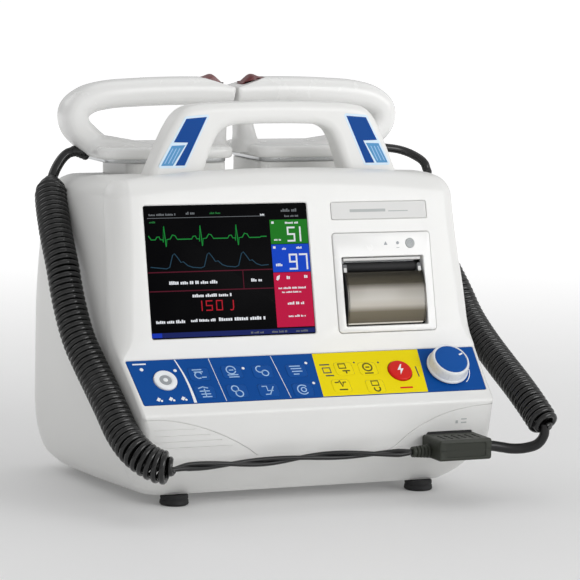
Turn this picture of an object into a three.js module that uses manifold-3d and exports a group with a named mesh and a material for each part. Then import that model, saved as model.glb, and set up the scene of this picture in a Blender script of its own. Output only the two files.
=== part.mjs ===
// Portable monitor defibrillator with two hand paddles, stored on its rear deck.
// Millimetres, +Z up. X runs across the front, left is -X, and the user faces the -Y side.
// The origin is on the table plane, under the middle of the whole object.
import * as THREE from 'three';
import { ParametricGeometry } from 'three/addons/geometries/ParametricGeometry.js';
import { RoundedBoxGeometry } from 'three/addons/geometries/RoundedBoxGeometry.js';
import { mergeVertices } from 'three/addons/utils/BufferGeometryUtils.js';
import Module from 'manifold-3d';

const wasm = await Module();
wasm.setup();

// ---------------------------------------------------------------- driving dimensions
const ORIGIN_Y = 57.3;           // from the screen's foot line back to the origin
const GAP = 0.3;                 // assembly gap between neighbouring pieces
const WALL = 2.5;                // housing wall
const PANEL_LEAN = 13.7;         // upper front panel leans back, degrees
const PANEL_Z = 124;             // height of the screen's lower edge
const PART_Y = 22;               // parting plane's distance behind the panel, along Y
const KEYPAD_LOW = { y: -35.9, z: 80.5 };
const KEYPAD_HIGH = { y: -3.5, z: 109.6 };
const CREST_Z = 245;             // top of the housing, in front of the deck
const DECK_Z = 239;
const DOCK_Z = 243.6;            // top of the plinths under the paddles
const TOP_R = 14;                // rounding of the housing's top edge
const FOOT_H = 8;
const FOOT_R = 11;
const PADDLE_Y = 145;

// Rectangles on the front panel: x across, y up the slope from the screen's lower edge
const SCREEN = centredRect(-53.8, 49.5, 132, 99);
const NAME_PLATE = { x0: 32.5, x1: 112.5, y0: 85.7, y1: 98.6 };
const PRINTER = { x0: 31.7, x1: 113.4, y0: -0.8, y1: 74.9 };
const PRINTER_WINDOW = { x0: 38, x1: 106.6, y0: 3.9, y1: 56.6 };

// Rectangles in the X-Z plane, for pieces that pass through the housing wall
const SOCKET = { x0: 88, x1: 126, z0: 34, z1: 51 };
const BATTERY = { x0: 20, x1: 112, z0: 22, z1: 80 };
const MAINS_INLET = { x0: -104, x1: -70, z0: 36, z1: 62 };

// ---------------------------------------------------------------- helpers
const rad = (degrees) => (degrees * Math.PI) / 180;

// linear interpolation in a table of [x, value] rows, held constant beyond its ends
function interp(x, table) {
  if (x <= table[0][0]) return table[0][1];
  for (let i = 1; i < table.length; i++) {
    const [x0, value0] = table[i - 1];
    const [x1, value1] = table[i];
    if (x <= x1) return value0 + ((value1 - value0) * (x - x0)) / (x1 - x0);
  }
  return table[table.length - 1][1];
}

function smooth(start, end, x) {
  const t = Math.min(1, Math.max(0, (x - start) / (end - start)));
  return t * t * (3 - 2 * t);
}

// a closed body with shared vertices and outward faces
function closed(geometry) {
  const bare = new THREE.BufferGeometry();
  bare.setAttribute('position', geometry.attributes.position.clone());
  if (geometry.index) bare.setIndex(geometry.index.clone());
  const merged = mergeVertices(bare, 1e-4);
  const { position } = merged.attributes;
  const corner = (i) => new THREE.Vector3().fromBufferAttribute(position, i);
  const source = merged.index.array;
  const faces = [];
  let volume = 0;
  for (let i = 0; i < source.length; i += 3) {
    const [a, b, c] = [source[i], source[i + 1], source[i + 2]];
    if (a === b || b === c || c === a) continue;
    faces.push(a, b, c);
    volume += corner(a).dot(corner(b).cross(corner(c)));
  }
  if (volume < 0) {
    for (let i = 0; i < faces.length; i += 3) {
      [faces[i + 1], faces[i + 2]] = [faces[i + 2], faces[i + 1]];
    }
  }
  merged.setIndex(faces);
  merged.computeVertexNormals();
  return merged;
}

function solid(geometry) {
  const body = closed(geometry);
  return new wasm.Manifold(new wasm.Mesh({
    numProp: 3,
    vertProperties: new Float32Array(body.attributes.position.array),
    triVerts: new Uint32Array(body.index.array),
  }));
}

function fromSolid(body) {
  const mesh = body.getMesh();
  const geometry = new THREE.BufferGeometry();
  geometry.setAttribute('position', new THREE.Float32BufferAttribute(mesh.vertProperties, 3));
  geometry.setIndex(new THREE.Uint32BufferAttribute(mesh.triVerts, 1));
  geometry.computeVertexNormals();
  return geometry;
}

const moved = (geometry, x, y, z) => geometry.translate(x, y, z);

function box(x0, x1, y0, y1, z0, z1) {
  const block = new THREE.BoxGeometry(x1 - x0, y1 - y0, z1 - z0);
  return moved(block, (x0 + x1) / 2, (y0 + y1) / 2, (z0 + z1) / 2);
}

// a block over an X-Z rectangle, filling y0..y1
const blockXZ = ({ x0, x1, z0, z1 }, y0, y1, grow = 0) =>
  box(x0 - grow, x1 + grow, y0, y1, z0 - grow, z1 + grow);

function centredRect(x, y, width, height) {
  return { x0: x - width / 2, x1: x + width / 2, y0: y - height / 2, y1: y + height / 2 };
}

// outline of a rectangle, grown on all sides, with rounded corners of a few steps each
function roundRect(rect, radius, steps, grow = 0) {
  const x0 = rect.x0 - grow + radius;
  const x1 = rect.x1 + grow - radius;
  const y0 = rect.y0 - grow + radius;
  const y1 = rect.y1 + grow - radius;
  const centres = [[x1, y1], [x0, y1], [x0, y0], [x1, y0]];
  return centres.flatMap(([x, y], quarter) => Array.from({ length: steps + 1 }, (_, i) => {
    const angle = (quarter + i / steps) * (Math.PI / 2);
    return [x + radius * Math.cos(angle), y + radius * Math.sin(angle)];
  }));
}

function circle(x, y, radius, steps) {
  return Array.from({ length: steps }, (_, i) => {
    const angle = (2 * Math.PI * i) / steps;
    return [x + radius * Math.cos(angle), y + radius * Math.sin(angle)];
  });
}

const mirror = (points) => points.map(([x, y]) => [-x, y]).reverse();

// plate drawn in local x, y and filling z0..z1
function plate(points, z0, z1, { bevel = 0, bevelSegments = 1, holes = [] } = {}) {
  const vectors = (list) => list.map(([x, y]) => new THREE.Vector2(x, y));
  const outlineShape = new THREE.Shape(vectors(points));
  outlineShape.holes = holes.map((hole) => new THREE.Path(vectors(hole)));
  const geometry = new THREE.ExtrudeGeometry(outlineShape, {
    depth: z1 - z0 - 2 * bevel,
    bevelEnabled: bevel > 0,
    bevelSize: bevel,
    bevelThickness: bevel,
    bevelOffset: -bevel,
    bevelSegments,
  });
  return moved(geometry, 0, 0, z0 + bevel);
}

// round piece with its axis along local z, profile as [radius, z]
function lathe(profile, around) {
  const points = profile.map(([radius, z]) => new THREE.Vector2(radius, z));
  return new THREE.LatheGeometry(points, around).rotateX(Math.PI / 2);
}

const smoothCurve = (points) =>
  new THREE.CatmullRomCurve3(points.map((p) => new THREE.Vector3(...p)), false, 'centripetal');

// rings 0..along, closed at both ends by shrinking an extra ring to a point;
// place(target, ring, angle, open) sets one vertex, open being 0 on the end points
function ringBody(around, along, place) {
  return new ParametricGeometry((u, v, target) => {
    const row = Math.round(v * (along + 2));
    const ring = Math.min(along, Math.max(0, row - 1));
    const open = row === 0 || row === along + 2 ? 0 : 1;
    const angle = 2 * Math.PI * (Math.round(u * around) % around) / around;
    place(target, ring, angle, open);
  }, around, along + 2);
}

// a round section swept along a path, radii as [fraction of length, radius]
function sweep(points, radii, around, along) {
  const curve = smoothCurve(points);
  const frames = curve.computeFrenetFrames(along, false);
  return ringBody(around, along, (target, ring, angle, open) => {
    const radius = open * interp(ring / along, radii);
    target.copy(curve.getPointAt(ring / along))
      .addScaledVector(frames.normals[ring], radius * Math.cos(angle))
      .addScaledVector(frames.binormals[ring], radius * Math.sin(angle));
  });
}

// a rounded-square section swept along an [x, z] path at one y;
// both tables are [fraction of length, half size], across the path and along Y
function sweepXZ(points, y, halfHeights, halfDepths, around, along) {
  const curve = smoothCurve(points.map(([x, z]) => [x, 0, z]));
  const power = 2 / 2.6; // superellipse of exponent 2.6
  const squared = (value) => Math.sign(value) * Math.pow(Math.abs(value), power);
  return ringBody(around, along, (target, ring, angle, open) => {
    const t = ring / along;
    const centre = curve.getPointAt(t);
    const tangent = curve.getTangentAt(t);
    const height = open * interp(t, halfHeights) * squared(Math.cos(angle));
    const depth = open * interp(t, halfDepths) * squared(Math.sin(angle));
    target.set(centre.x - tangent.z * height, y + depth, centre.z + tangent.x * height);
  });
}

// ---------------------------------------------------------------- materials and frames
const MATERIALS = {
  white: { color: 0xe9e9e6, roughness: 0.42 },
  light: { color: 0xdcdedd, roughness: 0.5 },
  blue: { color: 0x0b4f9e, roughness: 0.4 },
  yellow: { color: 0xffe600, roughness: 0.45 },
  red: { color: 0xe3221b, roughness: 0.4 },
  darkRed: { color: 0x7c1a1a, roughness: 0.4 },
  black: { color: 0x141516, roughness: 0.45 },
  screen: { color: 0x06080c, roughness: 0.12 },
  smoke: { color: 0x8d7f6b, roughness: 0.15 },
  paper: { color: 0xe8e2d4, roughness: 0.8 },
  steel: { color: 0xb9bcc0, roughness: 0.3, metalness: 1 },
  rubber: { color: 0x1d1e20, roughness: 0.7 },
  connector: { color: 0x3a3d38, roughness: 0.55 },
  board: { color: 0x1f5c3c, roughness: 0.6 },
  metal: { color: 0xa5a8aa, roughness: 0.45, metalness: 0.9 },
  grey: { color: 0x8f9496, roughness: 0.5 },
};

const device = new THREE.Group();
device.position.y = -ORIGIN_Y;

function addMesh(name, geometry, material, parent) {
  const mesh = new THREE.Mesh(geometry, new THREE.MeshStandardMaterial(MATERIALS[material]));
  mesh.name = name;
  parent.add(mesh);
}
const addPiece = (name, geometry, material, parent = device) =>
  addMesh(name, closed(geometry), material, parent);
const addSolid = (name, body, material, parent = device) =>
  addMesh(name, fromSolid(body), material, parent);

// sloping local frame: x across, y up the slope, z out of the face
function slopingFrame(y, z, slope) {
  const frame = new THREE.Group();
  frame.position.set(0, y, z);
  frame.rotation.x = slope;
  frame.updateMatrix();
  device.add(frame);
  return frame;
}
const panel = slopingFrame(0, PANEL_Z, rad(90 - PANEL_LEAN));
const keypad = slopingFrame(KEYPAD_LOW.y, KEYPAD_LOW.z,
  Math.atan2(KEYPAD_HIGH.z - KEYPAD_LOW.z, KEYPAD_HIGH.y - KEYPAD_LOW.y));

// ---------------------------------------------------------------- housing body
// Each table gives [z, value]
const FRONT_Y = [
  [8, -3], [16, -11.5], [28, -24.2], [40, -36.8], [50, -39.2], [68, -41.4],
  [74.5, -42.6], [109.6, -3.5], [150, 6.34], [185, 14.87], [212, 21.45], [245, 29.5],
];
const REAR_Y = [
  [8, 176], [16, 182], [28, 187], [45, 190], [185, 190], [212, 188.5], [245, 184],
];
const FRONT_HALF_WIDTH = [
  [8, 124], [16, 134], [28, 139.5], [45, 144.2], [60, 144.2], [74.5, 143.2], [109.6, 146],
  [116, 146.6], [127, 147], [150, 146.5], [178, 144.6], [200, 143.4], [218, 142.9], [245, 142],
];
const REAR_HALF_WIDTH = [
  [8, 136], [16, 144.2], [28, 148.6], [45, 151], [60, 152], [127, 152],
  [150, 151.2], [178, 149.4], [200, 147.4], [218, 145.2], [245, 140],
];
const FRONT_CORNER_R = [
  [8, 15], [40, 9], [66, 6], [74.5, 2.5], [109.6, 2.5], [116, 11], [130, 18], [245, 21],
];
const REAR_CORNER_R = 30;
const FRONT_INSET = 1.6;    // the front's setback along Y per unit of inset
const FLOOR_CENTRE_Y = 95;
const TOP_CENTRE_Y = 105;

// Stations round one horizontal section: the right half from front to rear, then its mirror.
// Each is [stretch of the outline, fraction along it, side].
const HALF_STATIONS = Object.entries({
  front: [0, 0.5, 1],
  frontCorner: [1 / 3, 2 / 3, 1],
  side: [0.22, 0.48, 0.74, 1],
  rearCorner: [0.25, 0.5, 0.75, 1],
  rear: [0.5, 1],
}).flatMap(([stretch, fractions]) => fractions.map((fraction) => [stretch, fraction]));
const STATIONS = [
  ...HALF_STATIONS.map((station) => [...station, 1]),
  ...HALF_STATIONS.slice(1, -1).reverse().map((station) => [...station, -1]),
];

// height of the top surface
function crown(x, y) {
  const crest = CREST_Z - 6.5 * Math.pow(Math.abs(x) / 125, 2.2);
  const deck = DECK_Z - 4 * Math.pow(Math.max(0, (Math.abs(x) - 118) / 35), 2);
  const onDeck = smooth(46, 60, y);
  const rearFall = 7 * smooth(70, 150, y) + 4 * smooth(168, 190, y);
  return crest * (1 - onDeck) + deck * onDeck - rearFall;
}

// point and outward normal of the section at height z
function outline([stretch, fraction, side], z, inset) {
  const frontY = interp(z, FRONT_Y) + FRONT_INSET * inset;
  const rearY = interp(z, REAR_Y) - inset;
  const frontHalf = interp(z, FRONT_HALF_WIDTH) - inset;
  const rearHalf = interp(z, REAR_HALF_WIDTH) - inset;
  const frontR = Math.max(1.5, interp(z, FRONT_CORNER_R) - inset);
  const rearR = REAR_CORNER_R - inset;
  const sine = Math.sin((fraction * Math.PI) / 2);
  const cosine = Math.cos((fraction * Math.PI) / 2);
  const sideY0 = frontY + frontR;
  const sideY1 = rearY - rearR;
  const [x, y, normalX, normalY] = {
    front: [(frontHalf - frontR) * fraction, frontY, 0, -1],
    frontCorner: [frontHalf - frontR + frontR * sine, sideY0 - frontR * cosine, sine, -cosine],
    side: [
      frontHalf + (rearHalf - frontHalf) * sine, sideY0 + (sideY1 - sideY0) * fraction, 1, 0,
    ],
    rearCorner: [rearHalf - rearR + rearR * cosine, sideY1 + rearR * sine, cosine, sine],
    rear: [(rearHalf - rearR) * (1 - fraction), rearY, 0, 1],
  }[stretch];
  return [x * side, y, normalX * side, normalY];
}

// the housing's form, inset by a wall; rows run from the floor's centre to the top's centre
function bodyGeometry(inset, levels, edgeAngles) {
  const floor = FOOT_H + inset;
  const edgeR = TOP_R - inset;
  // a ring on the rounded top edge, or shrunk towards the middle of the top;
  // its height depends on x and y and they on it, so they are settled by repetition
  const topRing = (station, angle, shrink) => {
    let [x, y, z] = [0, 0, 225];
    for (let k = 0; k < 6; k++) {
      const [outerX, outerY, normalX, normalY] = outline(station, z, inset);
      const inward = edgeR * (1 - Math.cos(angle));
      x = (outerX - normalX * inward) * shrink;
      y = TOP_CENTRE_Y + (outerY - normalY * inward - TOP_CENTRE_Y) * shrink;
      z = crown(x, y) - inset - edgeR * (1 - Math.sin(angle));
    }
    return [x, y, z];
  };
  const rows = [
    () => [0, FLOOR_CENTRE_Y, floor],
    ...[floor, ...levels].map((z) => (station) => {
      const [x, y] = outline(station, z, inset);
      return [x, y, z];
    }),
    ...edgeAngles.map((degrees) => (station) => topRing(station, rad(degrees), 1)),
    ...[0.8, 0.55].map((shrink) => (station) => topRing(station, Math.PI / 2, shrink)),
    () => [0, TOP_CENTRE_Y, crown(0, TOP_CENTRE_Y) - inset],
  ];
  const around = STATIONS.length;
  return new ParametricGeometry((u, v, target) => {
    const row = rows[Math.round(v * (rows.length - 1))];
    target.set(...row(STATIONS[Math.round(u * around) % around]));
  }, around, rows.length - 1);
}

const outerLevels = FRONT_Y.slice(1, -1).map(([z]) => z);
const bodyOuter = solid(bodyGeometry(0, outerLevels, [0, 30, 60, 90]));
const bodyInner = solid(bodyGeometry(WALL, [28, 50, 74.5, 109.6, 185], [0, 45, 90]));
let shell = bodyOuter.subtract(bodyInner);

// two low plinths on the deck hold the paddles' plates
for (const x of [-55.5, 55.5]) {
  const rect = { x0: x - 41.5, x1: x + 41.5, y0: PADDLE_Y - 32, y1: PADDLE_Y + 30 };
  shell = shell.add(solid(plate(roundRect(rect, 8, 2), DECK_Z - 10, DOCK_Z, { bevel: 1 })));
}

// all space between y0 and y1 from the parting plane, which is parallel to the front panel
function partedSpace(y0, y1) {
  const space = box(-400, 400, y0, y1, -600, 600).rotateX(-rad(PANEL_LEAN));
  return solid(moved(space, 0, PART_Y, PANEL_Z));
}

// ---------------------------------------------------------------- front housing
const OVERLAY = { halfLow: 139.4, halfHigh: 142.6, y0: 1, y1: 42.9 };
const OVERLAY_OPENING = { halfLow: 132.4, halfHigh: 135.5, y0: 2.2, y1: 40 };
const NAME_PLATE_GAP = 0.4;

const trapezoid = ({ halfLow, halfHigh, y0, y1 }, grow = 0) => [
  [-halfLow - grow, y0 - grow], [halfLow + grow, y0 - grow],
  [halfHigh + grow, y1 + grow], [-halfHigh - grow, y1 + grow],
];

const cutter = (frame, points, z0, z1) => solid(plate(points, z0, z1).applyMatrix4(frame.matrix));

const frontCuts = [
  cutter(panel, roundRect(SCREEN, 1.2, 1, GAP), -12, 4),
  cutter(panel, roundRect(PRINTER, 2.5, 2, GAP), -12, 4),
  cutter(panel, roundRect(NAME_PLATE, 1.2, 1, NAME_PLATE_GAP), -1.1, 4),
  // a recess for the keypad overlay and an opening behind it, leaving a ledge
  cutter(keypad, trapezoid(OVERLAY, GAP), -1.5, 5),
  cutter(keypad, trapezoid(OVERLAY_OPENING), -9, 5),
  solid(blockXZ(SOCKET, -60, -16, GAP)),
];
const frontHousing = frontCuts.reduce((body, cut) => body.subtract(cut),
  shell.intersect(partedSpace(-400, -GAP / 2)));
addSolid('front_housing', frontHousing, 'white');

// ---------------------------------------------------------------- rear housing and screws
const SCREWS = [[-112, 62], [112, 112], [-112, 176], [112, 176]]; // x, z
const SCREW_Y = 187.5;
const SCREW_PROFILE = [
  [0, -6], [1.9, -6], [1.9, -1.5], [4, -1.5], [4, 1.4], [3.2, 2], [0, 2],
];
const rearCuts = [
  solid(blockXZ(BATTERY, 170, 220, 0.5)),
  solid(blockXZ(MAINS_INLET, 170, 220, GAP)),
  ...SCREWS.map(([x, z]) => solid(moved(new THREE.CylinderGeometry(4.6, 4.6, 30, 12), x, 190, z))),
];
const rearHousing = rearCuts.reduce((body, cut) => body.subtract(cut),
  shell.intersect(partedSpace(GAP / 2, 400)));
addSolid('rear_housing', rearHousing, 'white');

SCREWS.forEach(([x, z], i) => {
  const screw = lathe(SCREW_PROFILE, 12).rotateX(-Math.PI / 2);
  addPiece(`housing_screw_${i + 1}`, moved(screw, x, SCREW_Y, z), 'metal');
});

// ---------------------------------------------------------------- feet
const FEET = { // x, y
  front_left: [-101, -1], front_right: [101, -1], rear_left: [-104, 150], rear_right: [104, 150],
};
const FOOT_PROFILE = [
  [0, 0], [FOOT_R - 1.2, 0], [FOOT_R, 1.4], [FOOT_R - 0.6, FOOT_H - GAP], [0, FOOT_H - GAP],
];
for (const [name, [x, y]] of Object.entries(FEET)) {
  addPiece(`foot_${name}`, moved(lathe(FOOT_PROFILE, 20), x, y, 0), 'rubber');
}

// ---------------------------------------------------------------- carry handle
const HANDLE_Y = 66;
const HANDLE_D = 26;
// [x, z]: the outer edge up the left leg, and the inner edge up the right leg
const HANDLE_OUTER = [
  [-103, 240], [-97, 253], [-91.5, 266], [-86, 277.5],
  [-81, 284.5], [-74, 289.6], [-63, 292], [-40, 293.7],
];
const HANDLE_INNER = [[59, 240], [54.5, 252], [50, 265], [45, 272.5], [36, 276.5]];
const INLAY = [[-95.4, 246], [-74.8, 246], [-56.6, 284.6], [-75, 283]];
const INLAY_RECESS = [[-96, 245.6], [-74.5, 245.6], [-55.8, 285.2], [-75.3, 283.6]];

// plate drawn in x, z and standing at y; its thickness z0..z1 runs towards -Y
const uprightPlate = (points, y, z0, z1, options) =>
  moved(plate(points, z0, z1, options).rotateX(Math.PI / 2), 0, y, 0);

const handleFrontY = HANDLE_Y - HANDLE_D / 2;
const handleOutline = [
  ...HANDLE_OUTER, [0, 294.3], ...mirror(HANDLE_OUTER),
  ...HANDLE_INNER, [0, 277.6], ...mirror(HANDLE_INNER),
];
let handle = solid(uprightPlate(handleOutline, HANDLE_Y, -HANDLE_D / 2, HANDLE_D / 2,
  { bevel: 4, bevelSegments: 2 }));
for (const points of [INLAY_RECESS, mirror(INLAY_RECESS)]) {
  handle = handle.subtract(solid(uprightPlate(points, handleFrontY, -1.5, 3)));
}
// the legs end just above the housing's top
handle = handle.subtract(solid(box(-140, 140, 30, 100, 200, CREST_Z + GAP))
  .intersect(bodyOuter.translate(0, 0, GAP)));
addSolid('carry_handle', handle, 'white');
for (const [side, points] of [['left', INLAY], ['right', mirror(INLAY)]]) {
  addPiece(`handle_inlay_${side}`, uprightPlate(points, handleFrontY, -1.1, 0.1), 'blue');
}

// ---------------------------------------------------------------- display
addPiece('display_window', plate(roundRect(SCREEN, 1, 1), -2.4, 0), 'screen', panel);
addPiece('display_module',
  box(SCREEN.x0 + 3, SCREEN.x1 - 3, SCREEN.y0 + 3, SCREEN.y1 - 3, -10, -2.8), 'grey', panel);
addPiece('name_plate', plate(roundRect(NAME_PLATE, 1, 1), -0.8, 0.2), 'light', panel);

// ---------------------------------------------------------------- printer
const LID_X0 = PRINTER_WINDOW.x0 + 1.2;
const LID_X1 = PRINTER_WINDOW.x1 - 1.2;
const EAR_X0 = LID_X0 + 1.8; // inner faces of the lid's ears
const EAR_X1 = LID_X1 - 1.8;
const EAR = [[40.5, -9.4], [51.6, -9.4], [51.6, -3.2], [44.4, -0.9], [40.5, -0.9]]; // y, z
const PLATEN = { y: 49.4, z: -6.4, radius: 3.8, endGap: 0.4 };
const PAPER = { x: 42, y: 25, z: -25, radius: 20, coreRadius: 6.2, width: 60 };

const printerFrame = solid(plate(roundRect(PRINTER, 2.2, 2), -5, 0.8, { bevel: 0.5 }))
  .subtract(solid(plate(roundRect(PRINTER_WINDOW, 1.5, 1), -8, 4)));
addSolid('printer_frame', printerFrame, 'white', panel);

// a plate drawn in the panel's y, z and filling x0..x1
const axisTurn = new THREE.Matrix4().makeBasis(
  new THREE.Vector3(0, 1, 0), new THREE.Vector3(0, 0, 1), new THREE.Vector3(1, 0, 0));
const across = (points, x0, x1) => plate(points, x0, x1).applyMatrix4(axisTurn);

// tinted lid: a shallow curved plate; two ears on it carry the platen roller
const lidArc = (radius) => Array.from({ length: 9 }, (_, i) => {
  const angle = rad(-28 + 6.5 * i);
  return [27 + radius * Math.sin(angle), -40 + radius * Math.cos(angle)];
});
const lid = solid(across([...lidArc(44), ...lidArc(42).reverse()], LID_X0, LID_X1))
  .add(solid(across(EAR, LID_X0, EAR_X0)))
  .add(solid(across(EAR, EAR_X1, LID_X1)));
addSolid('printer_lid', lid, 'smoke', panel);

const platenCircle = circle(PLATEN.y, PLATEN.z, PLATEN.radius, 14);
addPiece('platen_roller',
  across(platenCircle, EAR_X0 + PLATEN.endGap, EAR_X1 - PLATEN.endGap), 'rubber', panel);
addPiece('print_head', box(40, 104.6, 45, 55, -15, -10.8), 'metal', panel);
addPiece('tear_bar', box(39.8, 104.8, 53.6, 55.8, -4, -0.6), 'steel', panel);

const paperRoll = solid(
  across(circle(PAPER.y, PAPER.z, PAPER.radius, 24), PAPER.x, PAPER.x + PAPER.width))
  .subtract(solid(across(circle(PAPER.y, PAPER.z, PAPER.coreRadius, 12), 30, 120)));
addSolid('paper_roll', paperRoll, 'paper', panel);

// ---------------------------------------------------------------- keypad
const KEY_H = 12;
const KEY_SETS = [ // centres as [x, y]
  {
    color: 'blue',
    width: 16,
    centres: [
      [-89.0, 27.8], [-89.2, 10.6], [-62.4, 28.6], [-63.6, 10.2],
      [-38.0, 27.6], [-38.6, 9.6], [-10.6, 27.0], [-11.0, 8.6],
    ],
  },
  {
    color: 'yellow',
    width: 14.6,
    centres: [[28.4, 26.8], [21.2, 10.6], [48.0, 25.8], [48.8, 8.8]],
  },
];
const POWER = { x: -116.9, y: 23.2, radius: 9.2, top: 1.6 };
const SHOCK = { x: 73.7, y: 22.3, radius: 9.8, top: 2 };
const KNOB = { x: 113.5, y: 22.9, shaftRadius: 4.8 };
const KNOB_PROFILE = [
  [0, -9], [KNOB.shaftRadius, -9], [KNOB.shaftRadius, 0.8], [16.5, 0.8], [16.5, 2.8],
  [15.6, 4], [15.0, 10], [13.8, 11.3], [0, 11.6],
];

const keyOutline = ([x, y], width, grow = 0) =>
  roundRect(centredRect(x, y, width, KEY_H), 2.5, 1, grow);
const overlayHoles = [
  ...KEY_SETS.flatMap(({ width, centres }) => centres.map((c) => keyOutline(c, width, GAP))),
  ...[POWER, SHOCK].map(({ x, y, radius }) => circle(x, y, radius + GAP, 20)),
  circle(KNOB.x, KNOB.y, KNOB.shaftRadius + 0.5, 12),
].map((hole) => hole.reverse());
addPiece('keypad_overlay',
  plate(trapezoid(OVERLAY), -1.2, 0.1, { holes: overlayHoles }), 'blue', keypad);

for (const { color, width, centres } of KEY_SETS) {
  centres.forEach((centre, i) => {
    addPiece(`key_${color}_${i + 1}`, plate(keyOutline(centre, width), -4, 0.7), color, keypad);
  });
}

function roundKey({ x, y, radius, top }) {
  const profile = [[0, -4], [radius, -4], [radius, top - 0.8], [radius - 0.8, top], [0, top]];
  return moved(lathe(profile, 20), x, y, 0);
}
addPiece('power_button', roundKey(POWER), 'light', keypad);
addPiece('shock_button', roundKey(SHOCK), 'red', keypad);
addPiece('key_board', box(-124, 86, 5, 38.4, -7.8, -6.2), 'board', keypad);
addPiece('energy_knob', moved(lathe(KNOB_PROFILE, 28), KNOB.x, KNOB.y, 0), 'blue', keypad);
addPiece('knob_encoder',
  box(KNOB.x - 8, KNOB.x + 8, KNOB.y - 8, KNOB.y + 8, -17, -9.4), 'grey', keypad);

// ---------------------------------------------------------------- paddles
const HEAD = { x: 64.5, width: 111, depth: 76, top: 256 };
const ELECTRODE = { width: 100, depth: 68, top: 246.4 };
const BUTTON = { x: 17.5, z: 305.8, width: 15.4, depth: 14.4, height: 9, pocketFloor: 299 };
// The grip bar runs outward over the head and down to its outer end; the post stands
// under the bar's inner end. Paths are [x, z] of the right paddle.
const BAR_PATH = [
  [1.2, 296.2], [12, 296.6], [45, 297], [80, 296], [106, 294],
  [121, 290], [130.5, 282], [129.5, 271], [121, 262], [110, 253],
];
const POST_PATH = [[12, 296], [11.6, 285], [11.2, 274], [12.4, 264], [14, 253]];
// [fraction of length, half size]
const BAR_HEIGHTS = [[0, 9], [0.08, 11.4], [0.6, 11], [0.75, 10.6], [1, 9.6]];
const BAR_DEPTHS = [[0, 15], [0.6, 15], [1, 13]];
const POST_HEIGHTS = [[0, 7], [0.5, 6.6], [0.8, 8], [1, 10]];
const POST_DEPTHS = [[0, 11], [0.5, 11], [1, 14]];

function paddleGrip(side) {
  const headX = side * HEAD.x;
  const buttonX = side * BUTTON.x;
  const onSide = (path) => path.map(([x, z]) => [side * x, z]);
  const pocketX = BUTTON.width / 2 + GAP;
  const pocketY = BUTTON.depth / 2 + GAP;
  return solid(sweepXZ(onSide(BAR_PATH), PADDLE_Y, BAR_HEIGHTS, BAR_DEPTHS, 14, 22))
    .add(solid(sweepXZ(onSide(POST_PATH), PADDLE_Y, POST_HEIGHTS, POST_DEPTHS, 12, 5)))
    .subtract(solid(box(headX - 80, headX + 80, 100, 190, 240, HEAD.top + GAP)))
    .subtract(solid(box(buttonX - pocketX, buttonX + pocketX,
      PADDLE_Y - pocketY, PADDLE_Y + pocketY, BUTTON.pocketFloor, 320)));
}

for (const [name, side] of [['left', -1], ['right', 1]]) {
  const headRect = centredRect(side * HEAD.x, PADDLE_Y, HEAD.width, HEAD.depth);
  const head = plate(roundRect(headRect, 12, 3), ELECTRODE.top + GAP, HEAD.top, { bevel: 2.5 });
  addPiece(`paddle_${name}_head`, head, 'white');
  const electrodeRect = centredRect(side * HEAD.x, PADDLE_Y, ELECTRODE.width, ELECTRODE.depth);
  const electrode = plate(roundRect(electrodeRect, 9, 2), DOCK_Z + GAP, ELECTRODE.top);
  addPiece(`paddle_${name}_electrode`, electrode, 'steel');
  addSolid(`paddle_${name}_handle`, paddleGrip(side), 'white');
  const button = new RoundedBoxGeometry(BUTTON.width, BUTTON.depth, BUTTON.height, 1, 1.2);
  addPiece(`paddle_${name}_button`,
    moved(button, side * BUTTON.x, PADDLE_Y, BUTTON.z), 'darkRed');
}

// ---------------------------------------------------------------- paddle cords and leads
// Paths are [x, y, z]. Each cord leaves its paddle head and comes forward down one side.
const LEFT_CORD = [
  [-121.2, 145, 249.5], [-130, 147, 249.6], [-141, 150, 244], [-150.5, 148, 232],
  [-158, 131.3, 218.3], [-163.5, 105, 196], [-166.5, 80, 170.8], [-167.5, 63.3, 146.1],
  [-166, 44, 121], [-164, 28, 105], [-161.5, 12, 91], [-160, -8, 76],
  [-158.2, -30, 60], [-151.5, -50, 46.5], [-138, -61, 35],
];
const RIGHT_CORD = [
  [121.2, 145, 249.5], [131, 146, 250], [143, 140, 247.5], [151, 127, 241],
  [158, 115, 227], [162.5, 108, 205], [164.5, 100, 182], [165.5, 84, 160],
  [166, 66, 141], [166, 44, 124], [166, 20, 109], [166, -14, 94],
  [166, -42, 77], [167.4, -70, 56.9],
];
// from the left cord across the front to the plug
const LINK_LEAD = [
  [-140, -60, 36], [-126.5, -64, 39], [-112, -61.5, 40.5], [-94, -56, 39], [-51, -49, 38],
  [-7, -46.5, 39], [42, -48.5, 38.8], [60, -51, 39], [68.5, -52, 39.2],
];
// from the right cord to the plug
const TAIL_LEAD = [
  [167, -69, 58], [168, -64, 46], [162, -59, 39.6], [153, -56, 38.4],
  [145, -54, 39.4], [137, -53, 40.7], [131.4, -53, 41],
];
// [fraction of length, radius]: thin where it leaves the paddle, then as thick as the coil
const CORD_RADII = [[0, 3.6], [0.03, 3.6], [0.12, 4.5], [0.2, 10.4], [1, 10.8]];

function addCord(name, cordPath, leadPath, leadRadius, leadSteps) {
  const cord = solid(sweep(cordPath, CORD_RADII, 10, 26));
  const lead = solid(sweep(leadPath, [[0, leadRadius]], 8, leadSteps));
  addSolid(name, cord.add(lead), 'black');
}
addCord('cord_left', LEFT_CORD, LINK_LEAD, 3.4, 20);
addCord('cord_right', RIGHT_CORD, TAIL_LEAD, 4.2, 10);

// ---------------------------------------------------------------- plug and socket
const PLUG_TIP = { x0: 93, x1: 121, z0: 38.4, z1: 46 };
const PLUG_CLEARANCE = 0.4;

// a tapered stub along X
const plugStub = (leftRadius, rightRadius, length, x, y, z) => solid(moved(
  new THREE.CylinderGeometry(leftRadius, rightRadius, length, 12).rotateZ(Math.PI / 2), x, y, z));

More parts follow.
